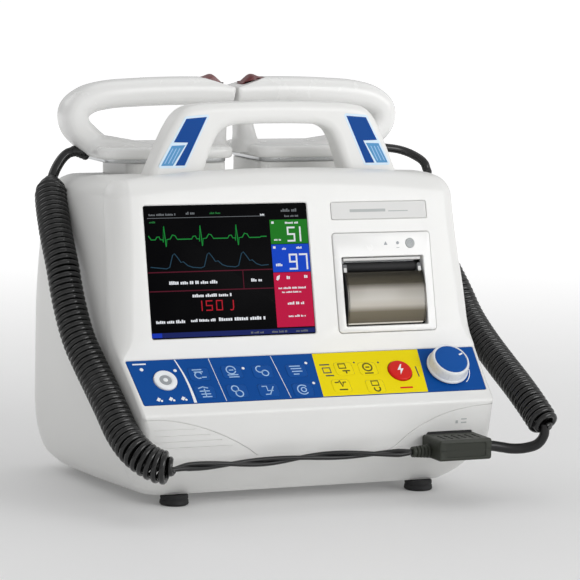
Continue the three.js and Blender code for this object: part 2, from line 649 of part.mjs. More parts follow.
const plug = solid(moved(new RoundedBoxGeometry(44, 30.7, 16, 1, 1.6), 105.5, -55.15, 41.9))
  .add(plugStub(5.0, 4.2, 16, 77, -52, 39.2))
  .add(plugStub(5.2, 5.6, 5, 128.6, -53, 41))
  .add(solid(blockXZ(PLUG_TIP, -41, -31)));
addSolid('cable_plug', plug, 'connector');

const socket = solid(blockXZ(SOCKET, -39, -18))
  .subtract(solid(blockXZ(PLUG_TIP, -45, -30.4, PLUG_CLEARANCE)));
addSolid('plug_socket', socket, 'black');

// ---------------------------------------------------------------- inside the housing
addPiece('chassis_plate', box(-118, 118, 40, 164, 13.5, 15.5), 'metal');
addPiece('main_board', box(-100, 100, 62, 64, 88, 200), 'board');
addPiece('charger_board', box(-112, 10, 78, 160, 19, 21), 'board');
addPiece('discharge_capacitor',
  moved(new THREE.CylinderGeometry(25, 25, 84, 20), -66, 112, 48.5), 'grey');

// a ring with its axis upright
const uprightCylinder = (radius, height, around) => solid(moved(
  new THREE.CylinderGeometry(radius, radius, height, around).rotateX(Math.PI / 2), -6, 128, 48));
addSolid('waveform_inductor',
  uprightCylinder(24, 34, 16).subtract(uprightCylinder(9, 60, 12)), 'metal');

const SPEAKER_PROFILE = [[0, 0], [10, 0], [12, 8], [26, 16], [28, 16], [28, 18], [0, 18]];
addPiece('loudspeaker',
  moved(lathe(SPEAKER_PROFILE, 16).rotateX(Math.PI / 2), -86, 60, 48), 'black');

const BATTERY_Y0 = 92;
const BATTERY_Y1 = 190.8;
const battery = new RoundedBoxGeometry(
  BATTERY.x1 - BATTERY.x0, BATTERY_Y1 - BATTERY_Y0, BATTERY.z1 - BATTERY.z0, 1, 1.5);
addPiece('battery_pack', moved(battery, (BATTERY.x0 + BATTERY.x1) / 2,
  (BATTERY_Y0 + BATTERY_Y1) / 2, (BATTERY.z0 + BATTERY.z1) / 2), 'grey');

const mainsInlet = solid(blockXZ(MAINS_INLET, 168, 191))
  .subtract(solid(box(-98, -76, 176, 200, 41, 57)));
addSolid('mains_inlet', mainsInlet, 'black');

export default device;
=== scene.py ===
import math

import bmesh
import bpy
import numpy as np
from mathutils import Matrix, Vector

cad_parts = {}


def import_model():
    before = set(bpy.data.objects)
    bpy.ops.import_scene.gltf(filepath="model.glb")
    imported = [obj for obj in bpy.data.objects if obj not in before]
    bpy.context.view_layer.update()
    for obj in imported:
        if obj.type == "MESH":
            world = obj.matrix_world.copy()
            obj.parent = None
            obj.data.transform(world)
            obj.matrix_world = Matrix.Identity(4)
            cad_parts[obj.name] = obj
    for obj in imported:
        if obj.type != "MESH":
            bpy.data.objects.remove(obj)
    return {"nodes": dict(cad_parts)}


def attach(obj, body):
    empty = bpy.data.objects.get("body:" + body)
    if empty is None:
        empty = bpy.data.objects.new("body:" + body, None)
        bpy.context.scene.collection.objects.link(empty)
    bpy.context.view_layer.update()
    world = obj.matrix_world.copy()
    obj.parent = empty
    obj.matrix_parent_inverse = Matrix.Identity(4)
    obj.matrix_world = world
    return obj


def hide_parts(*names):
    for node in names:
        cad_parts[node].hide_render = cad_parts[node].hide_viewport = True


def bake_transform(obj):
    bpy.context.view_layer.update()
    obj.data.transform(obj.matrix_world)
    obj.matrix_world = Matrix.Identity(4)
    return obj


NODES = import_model()["nodes"]
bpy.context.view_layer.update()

# ------------------------------------------------------------------ driving sizes, mm
ROW_Y = 57.3                                # device origin to row origin
PANEL_Z = 124                               # foot of the front panel
PANEL_LEAN = math.radians(13.7)
KEYPAD_FOOT = (-35.9, 80.5)                 # y, z
KEYPAD_HEAD = (-3.5, 109.6)
KEYPAD_SLOPE = math.atan2(KEYPAD_HEAD[1] - KEYPAD_FOOT[1], KEYPAD_HEAD[0] - KEYPAD_FOOT[0])
SIN_LEAN, COS_LEAN = math.sin(PANEL_LEAN), math.cos(PANEL_LEAN)
SIN_SLOPE, COS_SLOPE = math.sin(KEYPAD_SLOPE), math.cos(KEYPAD_SLOPE)
REAR_Y = 190                                # flat rear face
PADDLE_Y = 145                              # middle of both paddles
HANDLE_Y = 53                               # front face of the handle
WALL = 2.5
SCREEN_LEFT, SCREEN_RIGHT, SCREEN_HEIGHT = -119.8, 12.2, 99
SCREEN_WIDTH = SCREEN_RIGHT - SCREEN_LEFT
PRINTER_LEFT, PRINTER_RIGHT = 31.7, 113.4
SCREWS = [(-112, 62), (112, 112), (-112, 176), (112, 176)]              # x, z

# keypad places (x, distance up the slope) and cap widths
BLUE_KEYS = [(-89, 27.8), (-89.2, 10.6), (-62.4, 28.6), (-63.6, 10.2),
             (-38, 27.6), (-38.6, 9.6), (-10.6, 27), (-11, 8.6)]
YELLOW_KEYS = [(28.4, 26.8), (21.2, 10.6), (48, 25.8), (48.8, 8.8)]
BLUE_WIDTH, YELLOW_WIDTH, KEY_HEIGHT, KEY_GAP = 16, 14.6, 12, 0.15
POWER, SHOCK, KNOB = (-116.9, 23.2), (73.7, 22.3), (113.5, 22.9)


# ------------------------------------------------------------------ places
# A place function moves points drawn in (x, y, height) to device millimetres.
def to_metres(points):
    return (np.asarray(points, float) - (0, ROW_Y, 0)) / 1000.0


def as_drawn(points):
    return points


def on_panel(points):
    """x, up the front panel, out of it"""
    x, up, out = points.T
    return np.stack([x, up * SIN_LEAN - out * COS_LEAN,
                     PANEL_Z + up * COS_LEAN + out * SIN_LEAN], 1)


def on_keypad(points):
    """x, up the keypad slope, out of it"""
    x, up, out = points.T
    return np.stack([x, KEYPAD_FOOT[0] + up * COS_SLOPE - out * SIN_SLOPE,
                     KEYPAD_FOOT[1] + up * SIN_SLOPE + out * COS_SLOPE], 1)


def facing_front(y=0.0):
    """drawn in x and z, with height towards the user from the plane at y"""
    return lambda p: np.stack([p[:, 0], y - p[:, 2], p[:, 1]], 1)


def facing_rear(points):
    """drawn in x and z, with height as y"""
    return points[:, [0, 2, 1]]


def shifted(place, x, y, height=0):
    return lambda p: place(p + np.array([x, y, height]))


def panel_along_x(x=0.0, up=0.0, out=0.0):
    """outline in the cross-section of the panel, with height along x"""
    return lambda p: on_panel(np.stack([x + p[:, 2], up + p[:, 0], out + p[:, 1]], 1))


def sideways(side, x, y, z):
    """turned about an axis that points along x, to the given side"""
    return lambda p: np.stack([x + side * p[:, 2], y + p[:, 0], z + p[:, 1]], 1)


# ------------------------------------------------------------------ curves and outlines
def monotone(rows):
    """monotone cubic through (x, value) rows"""
    xs, ys = np.array(rows, float).T
    step = np.diff(xs)
    rise = np.diff(ys) / step
    slope = np.zeros_like(xs)
    slope[0], slope[-1] = rise[0], rise[-1]
    for i in range(1, len(xs) - 1):
        if rise[i - 1] * rise[i] > 0:
            w1, w2 = 2 * step[i] + step[i - 1], step[i] + 2 * step[i - 1]
            slope[i] = (w1 + w2) / (w1 / rise[i - 1] + w2 / rise[i])

    def value(x):
        x = min(max(x, xs[0]), xs[-1])
        i = int(min(max(np.searchsorted(xs, x) - 1, 0), len(xs) - 2))
        t = (x - xs[i]) / step[i]
        return ((2 * t**3 - 3 * t**2 + 1) * ys[i]
                + (t**3 - 2 * t**2 + t) * step[i] * slope[i]
                + (-2 * t**3 + 3 * t**2) * ys[i + 1]
                + (t**3 - t**2) * step[i] * slope[i + 1])
    return value


def smoothstep(low, high, x):
    t = min(1.0, max(0.0, (x - low) / (high - low)))
    return t * t * (3 - 2 * t)


def curve_and_length(points, n):
    """n + 1 evenly spaced points on a centripetal Catmull-Rom curve, and its length"""
    P = np.asarray(points, float)
    P = np.vstack([2 * P[0] - P[1], P, 2 * P[-1] - P[-2]])
    out = []
    for i in range(1, len(P) - 2):
        p0, p1, p2, p3 = P[i - 1:i + 3]
        t0 = 0
        t1 = t0 + max(np.linalg.norm(p1 - p0), 1e-6)**0.5
        t2 = t1 + max(np.linalg.norm(p2 - p1), 1e-6)**0.5
        t3 = t2 + max(np.linalg.norm(p3 - p2), 1e-6)**0.5
        for t in np.linspace(t1, t2, 24, endpoint=False):
            a1 = (t1 - t) / (t1 - t0) * p0 + (t - t0) / (t1 - t0) * p1
            a2 = (t2 - t) / (t2 - t1) * p1 + (t - t1) / (t2 - t1) * p2
            a3 = (t3 - t) / (t3 - t2) * p2 + (t - t2) / (t3 - t2) * p3
            b1 = (t2 - t) / (t2 - t0) * a1 + (t - t0) / (t2 - t0) * a2
            b2 = (t3 - t) / (t3 - t1) * a2 + (t - t1) / (t3 - t1) * a3
            out.append((t2 - t) / (t2 - t1) * b1 + (t - t1) / (t2 - t1) * b2)
    out.append(P[-2])
    out = np.array(out)
    run = np.concatenate([[0], np.cumsum(np.linalg.norm(np.diff(out, axis=0), axis=1))])
    wanted = np.linspace(0, run[-1], n + 1)
    return np.stack([np.interp(wanted, run, column) for column in out.T], 1), run[-1]


def curve(points, n):
    return curve_and_length(points, n)[0]


def unit_tangents(points):
    tangents = np.gradient(points, axis=0)
    return tangents / np.linalg.norm(tangents, axis=1)[:, None]


def normals_along(points):
    """two untwisted normals at each point"""
    T = unit_tangents(points)
    reference = np.array([0, 0, 1.0]) if abs(T[0][2]) < 0.9 else np.array([1.0, 0, 0])
    N = [np.cross(T[0], reference)]
    N[0] /= np.linalg.norm(N[0])
    for tangent in T[1:]:
        v = N[-1] - tangent * np.dot(N[-1], tangent)
        N.append(v / np.linalg.norm(v))
    N = np.array(N)
    return N, np.cross(T, N)


def bend(start, corner, end, n):
    """n + 1 points of the quadratic curve that rounds a corner"""
    return [(1 - t)**2 * start + 2 * t * (1 - t) * corner + t * t * end
            for t in np.linspace(0, 1, n + 1)]


def filleted(points, radii, n):
    """open line with its inner corners rounded, one radius for each"""
    P = [np.array(p, float) for p in points]
    out = [P[0]]
    for a, b, c, radius in zip(P, P[1:], P[2:], radii):
        u = (a - b) / np.linalg.norm(a - b)
        w = (c - b) / np.linalg.norm(c - b)
        reach = radius / math.tan(math.acos(max(-1, min(1, np.dot(u, w)))) / 2)
        out += bend(b + u * reach, b, b + w * reach, n)
    return np.array(out + [P[-1]])


def rounded(profile, radius=0.5, n=4):
    """open profile with its inner corners cut back by up to radius"""
    P = [np.array(p, float) for p in profile]
    out = [P[0]]
    for a, b, c in zip(P, P[1:], P[2:]):
        u, w = a - b, c - b
        lu, lw = np.linalg.norm(u), np.linalg.norm(w)
        reach = min(radius, lu * 0.45, lw * 0.45)
        out += bend(b + u / lu * reach, b, b + w / lw * reach, n)
    return out + [P[-1]]


def round_poly(points, reach, n=5):
    """closed polygon with every corner rounded"""
    P = [np.array(p, float) for p in points]
    out = []
    for i, b in enumerate(P):
        a, c = P[i - 1], P[(i + 1) % len(P)]
        u = (a - b) / np.linalg.norm(a - b)
        w = (c - b) / np.linalg.norm(c - b)
        out += bend(b + u * reach, b, b + w * reach, n)
    return np.array(out)


def rrect(x0, x1, y0, y1, r, n=6):
    points = []
    for cx, cy, start in ((x1 - r, y1 - r, 0), (x0 + r, y1 - r, 90),
                          (x0 + r, y0 + r, 180), (x1 - r, y0 + r, 270)):
        for i in range(n + 1):
            a = math.radians(start + 90 * i / n)
            points.append((cx + r * math.cos(a), cy + r * math.sin(a)))
    return np.array(points)


def circle(cx, cy, r, n=48):
    a = np.linspace(0, 2 * np.pi, n, endpoint=False)
    return np.stack([cx + r * np.cos(a), cy + r * np.sin(a)], 1)


def arc(cx, cy, r, start, end, n):
    a = np.radians(np.linspace(start, end, n))
    return np.stack([cx + r * np.cos(a), cy + r * np.sin(a)], 1)


def superellipse(n, power):
    """unit cosines and sines, pushed towards a rounded square when power < 1"""
    a = np.linspace(0, 2 * np.pi, n, endpoint=False)
    return [np.sign(f) * np.abs(f)**power for f in (np.cos(a), np.sin(a))]


def ccw(points):
    """the polygon in counter-clockwise order"""
    P = np.asarray(points, float)
    area = 0.5 * np.sum(P[:, 0] * np.roll(P[:, 1], -1) - np.roll(P[:, 0], -1) * P[:, 1])
    return P if area > 0 else P[::-1]


def offset(points, distance):
    """counter-clockwise polygon moved outwards"""
    P = np.asarray(points, float)
    out = []
    for i, b in enumerate(P):
        e1, e2 = b - P[i - 1], P[(i + 1) % len(P)] - b
        n1 = np.array([e1[1], -e1[0]]) / np.linalg.norm(e1)
        n2 = np.array([e2[1], -e2[0]]) / np.linalg.norm(e2)
        mitre = n1 + n2
        k = np.dot(mitre, mitre)
        out.append(b + mitre * (2 * distance / k if k > 0.2 else distance))
    return np.array(out)


# ------------------------------------------------------------------ closed meshes
# A mesh is a (vertices, faces) pair until it becomes an object.
def loft(rings, capped=True):
    """equal rings of points joined in order"""
    n = len(rings[0])
    faces = []
    for j in range(len(rings) - 1):
        a, b = j * n, (j + 1) * n
        for i in range(n):
            k = (i + 1) % n
            faces.append((a + i, a + k, b + k, b + i))
    if capped:
        faces.append(tuple(range(n - 1, -1, -1)))
        faces.append(tuple(range((len(rings) - 1) * n, len(rings) * n)))
    return np.vstack(rings), faces


def stack(outline, layers, place=as_drawn):
    """loft of offset outlines; layers are (outward offset, height)"""
    rings = []
    for outward, height in layers:
        ring = offset(outline, outward) if abs(outward) > 1e-9 else np.asarray(outline, float)
        rings.append(place(np.column_stack([ring, np.full(len(ring), height)])))
    return loft(rings)


def prism(outline, bottom, top, place=as_drawn):
    return stack(outline, [(0, bottom), (0, top)], place)


def pocket(bottom, surface, chamfer, top):
    """layers of a cutter that leaves a chamfered rim at surface"""
    return [(0, bottom), (0, surface - chamfer), (chamfer, surface), (chamfer, top)]


def block(x0, x1, y0, y1, bottom, top, radius=0.0, place=as_drawn):
    if radius > 0:
        outline = rrect(x0, x1, y0, y1, radius, 3)
    else:
        outline = np.array([(x0, y0), (x1, y0), (x1, y1), (x0, y1)])
    return prism(outline, bottom, top, place)


def disc(cx, cy, r, bottom, top, n=28, place=as_drawn):
    return prism(circle(cx, cy, r, n), bottom, top, place)


def box(x0, x1, y0, y1, z0, z1):
    corners = np.array([(x, y, z) for x in (x0, x1) for y in (y0, y1) for z in (z0, z1)], float)
    return corners, [(0, 1, 3, 2), (4, 6, 7, 5), (0, 4, 5, 1),
                     (2, 3, 7, 6), (0, 2, 6, 4), (1, 5, 7, 3)]


def lathe(profile, place, n=64):
    """turned solid; profile of (radius, height) that starts and ends on the axis"""
    a = np.linspace(0, 2 * np.pi, n, endpoint=False)
    vertices, faces, rows = [], [], []
    for r, h in profile:
        if r == 0:
            rows.append([len(vertices)])
            vertices.append((0, 0, h))
        else:
            rows.append(list(range(len(vertices), len(vertices) + n)))
            vertices += [(r * math.cos(t), r * math.sin(t), h) for t in a]
    for A, B in zip(rows, rows[1:]):
        for i in range(n):
            k = (i + 1) % n
            if len(A) == 1:
                faces.append((A[0], B[i], B[k]))
            elif len(B) == 1:
                faces.append((A[i], A[k], B[0]))
            else:
                faces.append((A[i], A[k], B[k], B[i]))
    return place(np.array(vertices)), faces


def lathe_ring(profile, place, n):
    """turned ring; closed profile of (radius, height) clear of the axis"""
    a = np.linspace(0, 2 * np.pi, n, endpoint=False)
    m = len(profile)
    vertices = np.array([(r * math.cos(t), r * math.sin(t), h) for t in a for r, h in profile])
    faces = [(i * m + j, i * m + (j + 1) % m, ((i + 1) % n) * m + (j + 1) % m,
              ((i + 1) % n) * m + j) for i in range(n) for j in range(m)]
    return place(vertices), faces


def tube(points, radius, n=12):
    """round tube; radius is one number or one for each point"""
    N, B = normals_along(points)
    radii = np.broadcast_to(radius, len(points))
    a = np.linspace(0, 2 * np.pi, n, endpoint=False)
    return loft([p + r * (np.outer(np.cos(a), u) + np.outer(np.sin(a), w))
                 for p, r, u, w in zip(points, radii, N, B)])


def ribbon(points, width, bottom, top, closed=False):
    """flat stroke along 2-D points; width is one number or one for each point"""
    P = np.asarray(points, float)
    n = len(P)
    rings = []
    for i, w in enumerate(np.broadcast_to(width, n)):
        a = P[i - 1] if (closed or i > 0) else P[i]
        c = P[(i + 1) % n] if (closed or i < n - 1) else P[i]
        t = (c - a) / max(np.linalg.norm(c - a), 1e-9)
        across = np.array([-t[1], t[0]])
        l, r = P[i] + across * w / 2, P[i] - across * w / 2
        rings.append(np.array([(*l, bottom), (*r, bottom), (*r, top), (*l, top)]))
    vertices, faces = loft(rings, not closed)
    if closed:
        b = (n - 1) * 4
        faces += [(b + i, b + (i + 1) % 4, (i + 1) % 4, i) for i in range(4)]
    return vertices, faces


def merge(meshes):
    vertices, faces, n = [], [], 0
    for v, f in meshes:
        vertices.append(v)
        faces += [tuple(i + n for i in face) for face in f]
        n += len(v)
    return np.vstack(vertices), faces


def placed(mesh, place):
    return place(mesh[0]), mesh[1]


# ------------------------------------------------------------------ objects
def tidy(ob):
    """weld doubles and turn the faces outwards"""
    bm = bmesh.new()
    bm.from_mesh(ob.data)
    bmesh.ops.remove_doubles(bm, verts=bm.verts, dist=1e-7)
    bmesh.ops.recalc_face_normals(bm, faces=bm.faces)
    if bm.calc_volume(signed=True) < 0:
        bmesh.ops.reverse_faces(bm, faces=bm.faces)
    bm.to_mesh(ob.data)
    bm.free()


def shade(ob, angle):
    """smooth shading with edges over angle degrees kept sharp"""
    data = ob.data
    data.polygons.foreach_set("use_smooth", [True] * len(data.polygons))
    data.set_sharp_from_angle(angle=math.radians(angle))
    data.update()


def new_object(name, mesh, materials, smooth, face_slots=None):
    data = bpy.data.meshes.new(name)
    data.from_pydata(to_metres(mesh[0]).tolist(), [], mesh[1])
    if face_slots is None:
        data.validate(verbose=False)
    else:
        data.polygons.foreach_set("material_index", face_slots)
    ob = bpy.data.objects.new(name, data)
    bpy.context.scene.collection.objects.link(ob)
    tidy(ob)
    for material in materials:
        data.materials.append(material)
    shade(ob, smooth)
    return ob


def make(name, mesh, material=None, smooth=30.0):
    """object of one mesh; material is a key of MAT"""
    return new_object(name, mesh, [MAT[material]] if material else [], smooth)


def multi(name, parts, smooth=30.0):
    """object of several (mesh, material) parts"""
    used = list(dict.fromkeys(material for _, material in parts))
    slots = [used.index(material) for mesh, material in parts for _ in mesh[1]]
    mesh = merge([mesh for mesh, _ in parts])
    return new_object(name, mesh, [MAT[material] for material in used], smooth, slots)


def evaluated(ob):
    graph = bpy.context.evaluated_depsgraph_get()
    return bpy.data.meshes.new_from_object(ob.evaluated_get(graph))


def swap_mesh(ob, data):
    old = ob.data
    ob.data = data
    bpy.data.meshes.remove(old)


def discard(ob):
    data = ob.data
    bpy.data.objects.remove(ob)
    bpy.data.meshes.remove(data)


def boolean(ob, cutter, operation="DIFFERENCE"):
    modifier = ob.modifiers.new("b", "BOOLEAN")
    modifier.operation = operation
    modifier.object = cutter
    modifier.solver = "MANIFOLD"
    data = evaluated(ob)
    if len(data.polygons) < 4:
        # the manifold solver gives nothing when an input isn't closed
        bpy.data.meshes.remove(data)
        modifier.solver = "EXACT"
        data = evaluated(ob)
    ob.modifiers.remove(modifier)
    data.name = ob.data.name + "_"
    swap_mesh(ob, data)
    shade(ob, 30)


def cut(ob, mesh, operation="DIFFERENCE"):
    cutter = make("cutter", mesh)
    boolean(ob, cutter, operation)
    discard(cutter)


def apply_modifier(ob, kind, **settings):
    modifier = ob.modifiers.new("m", kind)
    for name, value in settings.items():
        setattr(modifier, name, value)
    data = evaluated(ob)
    ob.modifiers.remove(modifier)
    swap_mesh(ob, data)


def weighted(ob, angle):
    """shade, with normals weighted by face area"""
    shade(ob, angle)
    modifier = ob.modifiers.new("wn", "WEIGHTED_NORMAL")
    modifier.keep_sharp = True
    modifier.weight = 60


def put(ob, body, slot, *replaced):
    """tie an object to its body and hide the CAD nodes it stands for; slot is not used"""
    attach(ob, body)
    if replaced:
        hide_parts(*replaced)


# ------------------------------------------------------------------ shader graphs
MAT = {}


class Graph:
    """short calls for building the node tree of a material or world"""

    def __init__(self, owner):
        owner.use_nodes = True
        self.tree = owner.node_tree
        self.shader = self.tree.nodes.get("Principled BSDF")

    def feed(self, node, values):
        """link each socket or set its value"""
        for socket, value in values.items():
            if isinstance(value, bpy.types.NodeSocket):
                self.tree.links.new(value, node.inputs[socket])
            else:
                node.inputs[socket].default_value = value

    def surface(self, values):
        self.feed(self.shader, values)

    def node(self, kind, values=None, **settings):
        node = self.tree.nodes.new("ShaderNode" + kind)
        for name, value in settings.items():
            setattr(node, name, value)
        self.feed(node, values or {})
        return node

    def coords(self, output="Object"):
        return self.node("TexCoord").outputs[output]

    def noise(self, scale, detail=2.0, roughness=0.5, vector=None):
        return self.node("TexNoise", {
            "Scale": scale, "Detail": detail, "Roughness": roughness,
            "Vector": vector or self.coords()}).outputs["Fac"]

    def ramp(self, factor, stops):
        """colour ramp of (position, colour) stops"""
        node = self.node("ValToRGB", {"Fac": factor})
        elements = node.color_ramp.elements
        for element, (position, colour) in zip(list(elements), (stops[0], stops[-1])):
            element.position = position
            element.color = (*colour, 1)
        for position, colour in stops[1:-1]:
            elements.new(position).color = (*colour, 1)
        return node.outputs["Color"]

    def span(self, value, low, high, start=0.0, end=1.0, **settings):
        """value mapped from start..end to low..high"""
        return self.node("MapRange", {
            "From Min": start, "From Max": end, "To Min": low, "To Max": high,
            "Value": value}, **settings).outputs["Result"]

    def bump(self, height, distance, strength=1.0):
        node = self.node("Bump", {"Distance": distance, "Strength": strength, "Height": height})
        self.surface({"Normal": node.outputs["Normal"]})


def material(name):
    MAT[name] = bpy.data.materials.new(name)
    return Graph(MAT[name])


def scaled(colour, factor):
    return tuple(x * factor for x in colour)


def plastic(name, colour, roughness, grain, depth, drift,
            coat=0.0, spread=0.08, specular=0.5, edge_colour=None):
    """moulded plastic: slight tone drift, fine grain, uneven gloss, paler convex edges in
    patches
    """
    g = material(name)
    base = g.ramp(g.noise(14.0, detail=3.0),
                  [(0.3, scaled(colour, 1 - drift)), (0.7, scaled(colour, 1 + drift))])
    if edge_colour:
        # convex edges, found by pointiness, are made paler in patches
        edges = g.ramp(g.node("NewGeometry").outputs["Pointiness"],
                       [(0.515, (0, 0, 0)), (0.60, (1, 1, 1))])
        patches = g.noise(260.0, detail=4.0, roughness=0.7)
        amount = g.node("Math", {0: edges, 1: patches}, operation="MULTIPLY").outputs[0]
        base = g.node("Mix", {"Factor": amount, "A": base, "B": (*edge_colour, 1)},
                      data_type="RGBA").outputs["Result"]
    smear = g.noise(60.0, detail=4.0, roughness=0.65)
    g.surface({"Base Color": base,
               "Roughness": g.span(smear, roughness - spread, roughness + spread),
               "Coat Weight": coat, "Coat Roughness": 0.12, "Specular IOR Level": specular})
    g.bump(g.noise(grain, roughness=0.6), distance=depth, strength=0.6)


def metal(name, colour, roughness, stretch, scale):
    """bare metal; the noise is squeezed by stretch to look brushed"""
    g = material(name)
    mapping = g.node("Mapping", {"Scale": stretch, "Vector": g.coords()})
    grain = g.noise(scale, detail=4.0, roughness=0.7, vector=mapping.outputs["Vector"])
    g.surface({"Base Color": g.ramp(grain, [(0.25, scaled(colour, 0.86)), (0.75, colour)]),
               "Metallic": 1.0,
               "Roughness": g.span(grain, roughness - 0.08, roughness + 0.1)})
    g.bump(grain, distance=10e-6)


def glow(name, colour):
    """lit display segment with slightly uneven brightness"""
    g = material(name)
    g.surface({"Base Color": (*scaled(colour, 0.06), 1), "Roughness": 0.3,
               "Specular IOR Level": 0.04, "Emission Color": (*colour, 1),
               "Emission Strength": g.span(g.noise(1500.0, detail=1.0), 0.85, 1.1)})


def circuit_board():
    g = material("circuit_board")
    cells = g.node("TexVoronoi", {"Scale": 220.0, "Vector": g.coords()},
                   distance="MANHATTAN").outputs["Distance"]
    g.surface({"Base Color": g.ramp(cells, [(0.05, (0.10, 0.28, 0.10)),
                                            (0.14, (0.008, 0.09, 0.035)),
                                            (0.9, (0.006, 0.06, 0.025))]),
               "Roughness": 0.4})
    g.bump(cells, distance=50e-6)


def thermal_paper():
    g = material("thermal_paper")
    g.surface({"Base Color": g.ramp(g.noise(120, detail=5.0, roughness=0.6),
                                    [(0.3, (0.78, 0.74, 0.66)), (0.7, (0.86, 0.83, 0.76))]),
               "Roughness": 0.75})
    wave = g.node("TexWave", {"Scale": 900.0, "Vector": g.coords()}, bands_direction="X")
    g.bump(wave.outputs["Fac"], distance=10e-6)


def tinted_window():
    """smoke-tinted plastic, part clear, part haze, with the shading and highlight of the roll
    behind it painted on: bands by height, light in the middle, dark towards top and bottom
    """
    g = material("tinted_window")
    height = g.node("SeparateXYZ", {0: g.coords()}).outputs["Z"]
    # painted shade and highlight: the roll's cylinder shading set into the colour by height
    tone = g.ramp(g.span(height, 0.0, 1.0, start=0.1275, end=0.1665), [
        (0.0, (0.50, 0.46, 0.38)), (0.06, (0.20, 0.175, 0.125)), (0.28, (0.26, 0.23, 0.17)),
        (0.40, (0.80, 0.76, 0.69)), (0.52, (0.80, 0.78, 0.73)), (0.70, (0.58, 0.55, 0.50)),
        (0.82, (0.10, 0.088, 0.06)), (1.0, (0.022, 0.019, 0.012))])
    g.surface({"Base Color": tone, "Specular IOR Level": 0.4,
               "Roughness": g.span(g.noise(40, detail=3.0), 0.16, 0.26)})
    clear = g.node("BsdfTransparent", {"Color": (0.62, 0.58, 0.50, 1)})
    mix = g.node("MixShader", {"Fac": 0.62, 1: clear.outputs["BSDF"],
                               2: g.shader.outputs["BSDF"]})
    g.feed(g.tree.nodes["Material Output"], {"Surface": mix.outputs["Shader"]})


def screen_glass():
    g = material("screen_glass")
    haze = g.noise(30, detail=4.0, roughness=0.6)
    g.surface({"Base Color": g.ramp(haze, [(0.3, (0.0015, 0.0015, 0.002)),
                                           (0.7, (0.0025, 0.0025, 0.003))]),
               "Roughness": g.span(haze, 0.30, 0.38), "Specular IOR Level": 0.02})


# name, colour, roughness, grain scale, bump depth in m, tone drift,
# then where they differ from plain: coat, roughness spread, specular, colour of paler convex
# edges
PLASTICS = [
    ("case_white", (0.80, 0.80, 0.785), 0.34, 2400, 18e-6, 0.012, 0.10, 0.06, 0.5,
     (0.86, 0.86, 0.85)),
    ("paddle_white", (0.82, 0.82, 0.81), 0.26, 3000, 8e-6, 0.012, 0.25, 0.05),
    ("plate_grey", (0.69, 0.69, 0.68), 0.45, 3000, 10e-6, 0.02, 0, 0.05),
    ("overlay_blue", (0.0015, 0.068, 0.31), 0.52, 2600, 12e-6, 0.05, 0, 0.05, 0.10),
    ("key_blue", (0.002, 0.075, 0.33), 0.48, 2600, 12e-6, 0.05, 0, 0.05, 0.14),
    ("overlay_yellow", (0.86, 0.70, 0.001), 0.5, 2600, 12e-6, 0.03, 0, 0.05, 0.12),
    ("key_yellow", (0.88, 0.72, 0.002), 0.48, 2600, 12e-6, 0.03, 0, 0.05, 0.14),
    ("shock_red", (0.66, 0.008, 0.004), 0.35, 1500, 6e-6, 0.04, 0, 0.04, 0.25),
    ("discharge_red", (0.13, 0.012, 0.014), 0.3, 1800, 10e-6, 0.08, 0.2, 0.05),
    ("print_white", (0.86, 0.88, 0.9), 0.4, 2600, 8e-6, 0.02),
    ("print_dark", (0.03, 0.035, 0.05), 0.4, 2600, 8e-6, 0.02),
    ("print_grey", (0.32, 0.34, 0.36), 0.45, 2600, 8e-6, 0.02),
    ("inlay_pale_blue", (0.095, 0.30, 0.56), 0.4, 2600, 6e-6, 0.06, 0, 0.08, 0.15),
    ("inlay_blue", (0.003, 0.062, 0.29), 0.4, 2600, 6e-6, 0.06, 0, 0.08, 0.12),
    ("inlay_navy", (0.003, 0.026, 0.13), 0.4, 2600, 6e-6, 0.06, 0, 0.08, 0.12),
    ("print_olive", (0.10, 0.085, 0.008), 0.45, 2600, 8e-6, 0.02, 0, 0.08, 0.2),
    ("print_pale", (0.36, 0.55, 0.80), 0.45, 2600, 8e-6, 0.02, 0, 0.08, 0.2),
    ("print_mid_grey", (0.40, 0.42, 0.42), 0.4, 2600, 8e-6, 0.02),
    ("inlay_rim", (0.66, 0.80, 0.92), 0.35, 2600, 6e-6, 0.02, 0.1),
    ("knob_white", (0.80, 0.82, 0.84), 0.28, 2600, 8e-6, 0.02, 0.2),
    ("cord_black", (0.0045, 0.0048, 0.0048), 0.20, 900, 10e-6, 0.15, 0, 0.05, 0.55),
    ("lead_black", (0.006, 0.006, 0.0065), 0.34, 1400, 10e-6, 0.15, 0, 0.06, 0.45),
    ("connector_grey", (0.026, 0.029, 0.022), 0.48, 1500, 20e-6, 0.1, 0, 0.07, 0.3,
     (0.05, 0.055, 0.045)),
    ("foot_rubber", (0.018, 0.018, 0.019), 0.68, 1200, 50e-6, 0.15, 0, 0.08, 0.35),
    ("black_plastic", (0.016, 0.016, 0.017), 0.42, 1600, 30e-6, 0.12),
    ("dark_grey_plastic", (0.11, 0.115, 0.12), 0.5, 1400, 40e-6, 0.06),
]
# name, colour, roughness, stretch of the noise, noise scale
METALS = [
    ("electrode_steel", (0.62, 0.63, 0.64), 0.28, (1, 30, 1), 900),
    ("zinc_steel", (0.50, 0.51, 0.52), 0.32, (1, 1, 1), 300),
    ("sheet_aluminium", (0.62, 0.63, 0.64), 0.42, (20, 1, 1), 900),
    ("contact_brass", (0.62, 0.48, 0.24), 0.3, (1, 1, 1), 900),
]
for row in PLASTICS:
    plastic(*row)
for row in METALS:
    metal(*row)
circuit_board()
thermal_paper()
tinted_window()
screen_glass()

# ------------------------------------------------------------------ housing surface
# front edge from chin to top in (y, z)
FRONT_PROFILE = filleted([(-3, 8), (-36.8, 40), (-39.2, 50), (-42.6, 74.5), KEYPAD_HEAD,
                          (30.7, 250)], radii=[9, 8, 4.5, 3.5], n=7)
